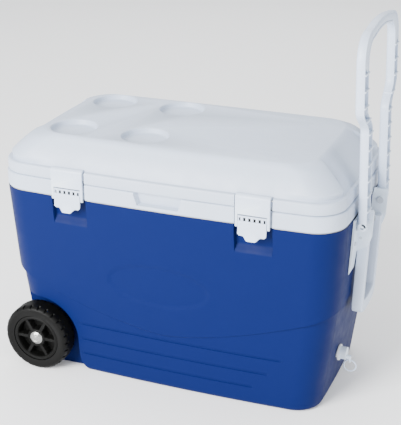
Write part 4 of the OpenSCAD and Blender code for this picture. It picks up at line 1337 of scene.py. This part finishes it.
@dataclass
class Wheel:
    """One wheel: a tyre with tread blocks, a pocketed hub and a steel cap.

    Attributes:
        name: front or rear.
        side: -1 at the front, 1 at the rear.
        radius: Radius of the tyre.
        inner: Distance of its inner face from the middle.
        width: Width of the tyre.
        hub: Radius of the hub.
        blocks: Number of tread blocks.
    """

    name: str
    side: int
    radius: float = 70.0
    inner: float = 144.8
    width: float = 46.0
    hub: float = 50.0
    blocks: int = 26

    def turn(self) -> Matrix:
        """Puts a shape turned about Z, with +Z outwards, on the axle."""
        out = Matrix.Rotation(-math.pi / 2 * self.side, 4, "X")
        return Matrix.Translation((-275.0, self.side * self.inner, 70.0)) @ out

    def tyre(self) -> None:
        """Builds the tyre with its tread blocks."""
        r, w = self.radius, self.width
        profile = [(self.hub, 2.0), (r - 13, 0.6), (r - 9, 0.0), (r - 5.5, 0.7), (r - 3.0, 2.6),
                   (r - 1.0, 5.5), (r, 9.5), (r, 12.0), (r, 13.5), (r, w / 2), (r, w - 13.5),
                   (r, w - 12.0), (r, w - 9.5), (r - 1.0, w - 5.5), (r - 3.0, w - 2.6),
                   (r - 5.5, w - 0.7), (r - 9, w), (r - 13, w - 0.8), (self.hub, w - 2.2)]
        cut = {4: 0.5, 5: 1.0, 6: 1.0, 7: 1.0, 11: 1.0, 12: 1.0, 13: 0.8, 14: 0.3}
        pitch = 2 * math.pi / self.blocks

        def tread(t: float, k: int) -> float:
            """Depth of the gap between blocks at an angle and profile point."""
            away = abs((t + pitch / 2) % pitch - pitch / 2) * self.radius
            return -2.8 * cut.get(k, 0.0) * smooth((2.6 - away) / 1.4)

        shape = Shape()
        made = []
        steps = self.blocks * 14
        for k, (rr, z) in enumerate(profile):
            row = []
            for i in range(steps):
                t = 2 * math.pi * i / steps
                q = rr + tread(t, k)
                row.append((q * math.cos(t), q * math.sin(t), z))
            made.append(row)
        shape.hoop(made)
        place(shape.object(f"tyre_tread_{self.name}", self.turn(), 38.0), WHEEL_BLACK,
              f"wheel_{self.name}", f"tyre_{self.name}")

    def face(self, r: float, t: float) -> float:
        """Height of the hub's outer face.

        Args:
            r: Distance from the axle.
            t: Angle round the axle.

        Returns:
            The height above the wheel's inner face.
        """
        top = self.width - 3.0
        away = abs((t + math.pi / 6) % (math.pi / 3) - math.pi / 6) * r
        spoke = smooth((5.4 - away) / 2.2)
        pocket = smooth((r - 19.0) / 2.4) * smooth((42.0 - r) / 2.4) * (1.0 - spoke)
        web = 2.2 * smooth((r - 17.5) / 2.0) * smooth((43.0 - r) / 2.0)
        ring = 0.9 * smooth((r - 44.2) / 0.8) * smooth((47.0 - r) / 0.8)
        boss = 1.6 * smooth((18.0 - r) / 1.6)
        return top - 15.0 * pocket - web + ring - boss - 1.4 * smooth((r - 48.2) / 1.6)

    def hub_piece(self) -> None:
        """Builds the hub with six pockets between its spokes."""
        radii = [5.05] + [v for v in spread(8.0, self.hub - 0.15, 0.8)]
        steps = 180
        shape = Shape()
        rows = [[(r * math.cos(2 * math.pi * i / steps), r * math.sin(2 * math.pi * i / steps),
                  self.face(r, 2 * math.pi * i / steps)) for i in range(steps)] for r in radii]
        last = radii[-1]
        for r, z in ((last, 20.0), (last, 0.6), (last - 7.0, 0.4), (17.0, 0.4), (5.05, 0.4)):
            rows.append(circle(r, z, steps))
        shape.hoop(rows)
        place(shape.object(f"hub_face_{self.name}", self.turn(), 38.0), WHEEL_BLACK,
              f"wheel_{self.name}", f"hub_{self.name}")

    def cap(self) -> None:
        """Builds the stamped steel cap on the axle's end."""
        z0 = 40.5
        profile = [(13.5, 0.0), (13.5, 1.6), (12.9, 2.3), (11.8, 2.6), (11.0, 3.4), (9.6, 4.4),
                   (7.4, 4.9), (6.2, 4.3), (5.0, 4.1), (3.6, 4.8), (2.2, 5.0), (0.6, 4.9)]

        def stamp(t: float, k: int) -> float:
            """Pulls four grips into the cap's crown."""
            return -0.9 * smooth((math.cos(4 * t) - 0.5) / 0.5) if 4 <= k <= 8 else 0.0

        shape = Shape()
        shape.turned(profile, 64, stamp)
        turn = self.turn() @ Matrix.Translation((0, 0, z0))
        place(shape.object(f"cap_dome_{self.name}", turn, 36.0), CAP_STEEL, "cooler_body",
              f"axle_cap_{self.name}")

    def build(self) -> None:
        """Builds the tyre, the hub and the cap."""
        self.tyre()
        self.hub_piece()
        self.cap()


# ---------------------------------------------------------------- the room


@dataclass(frozen=True)
class Studio:
    """Plain pale floor, soft light and the camera.

    Attributes:
        eye: Place of the camera in metres.
        yaw: How far it looks left of +Y, in radians.
        pitch: How far it looks down.
        roll: How far it leans.
        lens: Focal length in millimetres.
    """

    eye: Point = (0.7514, -1.8581, 1.1486)
    yaw: float = 0.3793
    pitch: float = 0.3942
    roll: float = -0.0032
    lens: float = 91.66

    def camera(self) -> None:
        """Adds the camera."""
        data = bpy.data.cameras.new("camera")
        data.lens = self.lens
        data.sensor_width = 36.0
        made = bpy.data.objects.new("camera", data)
        forward = Vector((-math.sin(self.yaw) * math.cos(self.pitch),
                          math.cos(self.yaw) * math.cos(self.pitch), -math.sin(self.pitch)))
        right = Vector((math.cos(self.yaw), math.sin(self.yaw), 0.0))
        up = right.cross(forward)
        turned = math.cos(self.roll) * right + math.sin(self.roll) * up
        upright = -math.sin(self.roll) * right + math.cos(self.roll) * up
        basis = Matrix((turned, upright, -forward)).transposed()
        made.matrix_world = Matrix.Translation(self.eye) @ basis.to_4x4()
        bpy.context.scene.collection.objects.link(made)
        bpy.context.scene.camera = made

    def lamp(self, name: str, where: Point, aim: Point, size: float, power: float) -> None:
        """Adds a soft square lamp.

        Args:
            name: Its name.
            where: Its place.
            aim: What it points at.
            size: Its side.
            power: Its power in watts.
        """
        data = bpy.data.lights.new(name, "AREA")
        data.shape = "SQUARE"
        data.size = size
        data.energy = power
        made = bpy.data.objects.new(name, data)
        made.location = where
        made.rotation_euler = (Vector(aim) - Vector(where)).to_track_quat("-Z", "Y").to_euler()
        bpy.context.scene.collection.objects.link(made)

    def floor(self) -> None:
        """Adds the floor."""
        mesh = bpy.data.meshes.new("floor")
        mesh.from_pydata([(-30, -30, 0), (30, -30, 0), (30, 30, 0), (-30, 30, 0)], [],
                         [[0, 1, 2, 3]])
        made = bpy.data.objects.new("floor", mesh)
        bpy.context.scene.collection.objects.link(made)
        paint = bpy.data.materials.new("floor_paint")
        paint.use_nodes = True
        shader = paint.node_tree.nodes["Principled BSDF"]
        shader.inputs["Base Color"].default_value = (1.0, 1.0, 1.0, 1.0)
        shader.inputs["Roughness"].default_value = 0.9
        mesh.materials.append(paint)

    def build(self) -> None:
        """Adds the room, the lamps and the camera."""
        world = bpy.data.worlds.new("soft_sky")
        world.use_nodes = True
        sky = world.node_tree.nodes["Background"]
        sky.inputs["Color"].default_value = (0.96, 0.98, 1.0, 1.0)
        sky.inputs["Strength"].default_value = 1.25
        bpy.context.scene.world = world
        self.floor()
        self.lamp("key", (-1.2, -3.0, 1.9), (0.0, 0.0, 0.25), 1.7, 360.0)
        self.lamp("fill", (3.0, -1.8, 1.2), (0.0, 0.0, 0.3), 1.6, 60.0)
        self.lamp("back", (-0.6, 2.6, 3.0), (0.0, 0.0, 0.3), 2.4, 60.0)
        self.camera()


def dress_frame() -> None:
    """Dresses the CAD nodes that stay as they are."""
    dress(CORE_FOAM, "tub_foam", "lid_foam")
    dress(LINER_WHITE, "tub_liner", "lid_liner", "axle_sleeve", "drain_spout", "drain_nut")
    dress(LID_WHITE, "latch_keeper_left", "latch_keeper_right", "hinge_base_left",
          "hinge_base_right", "hinge_flap_left", "hinge_flap_right")
    dress(HANDLE_WHITE, "handle_bracket_front", "handle_bracket_rear", "left_bracket_front",
          "left_bracket_rear", "drain_plug", "drain_ring")
    dress(CAP_STEEL, "hinge_pin_left", "hinge_pin_right", "hinge_base_screws",
          "hinge_flap_screws", "axle", "wheel_spacers", "latch_pin_left", "latch_pin_right",
          "lever_pin_left", "lever_pin_right")
    dress(PIN_COATED, "tow_pin_front", "tow_pin_rear", "right_grip_pins", "left_grip_pins",
          "bracket_screws")
    dress(SEAL_RUBBER, "drain_seal", "lid_gasket", "plug_seal")


def main() -> None:
    """Builds the cooler, piece by piece, and the room round it."""
    logging.basicConfig(level=logging.INFO, format="%(name)s: %(message)s")
    dress_frame()
    TubSkin().build()
    Collar().build()
    LidSkin().build()
    for name, side in (("left", -1), ("right", 1)):
        Latch(name, side * LATCH_X).build()
    TowHandle().build()
    for name, side in (("right", 1), ("left", -1)):
        CarryHandle(name, side).build()
    for name, side in (("front", -1), ("rear", 1)):
        Wheel(name, side).build()
    Studio().build()


if __name__ == "__main__":
    main()
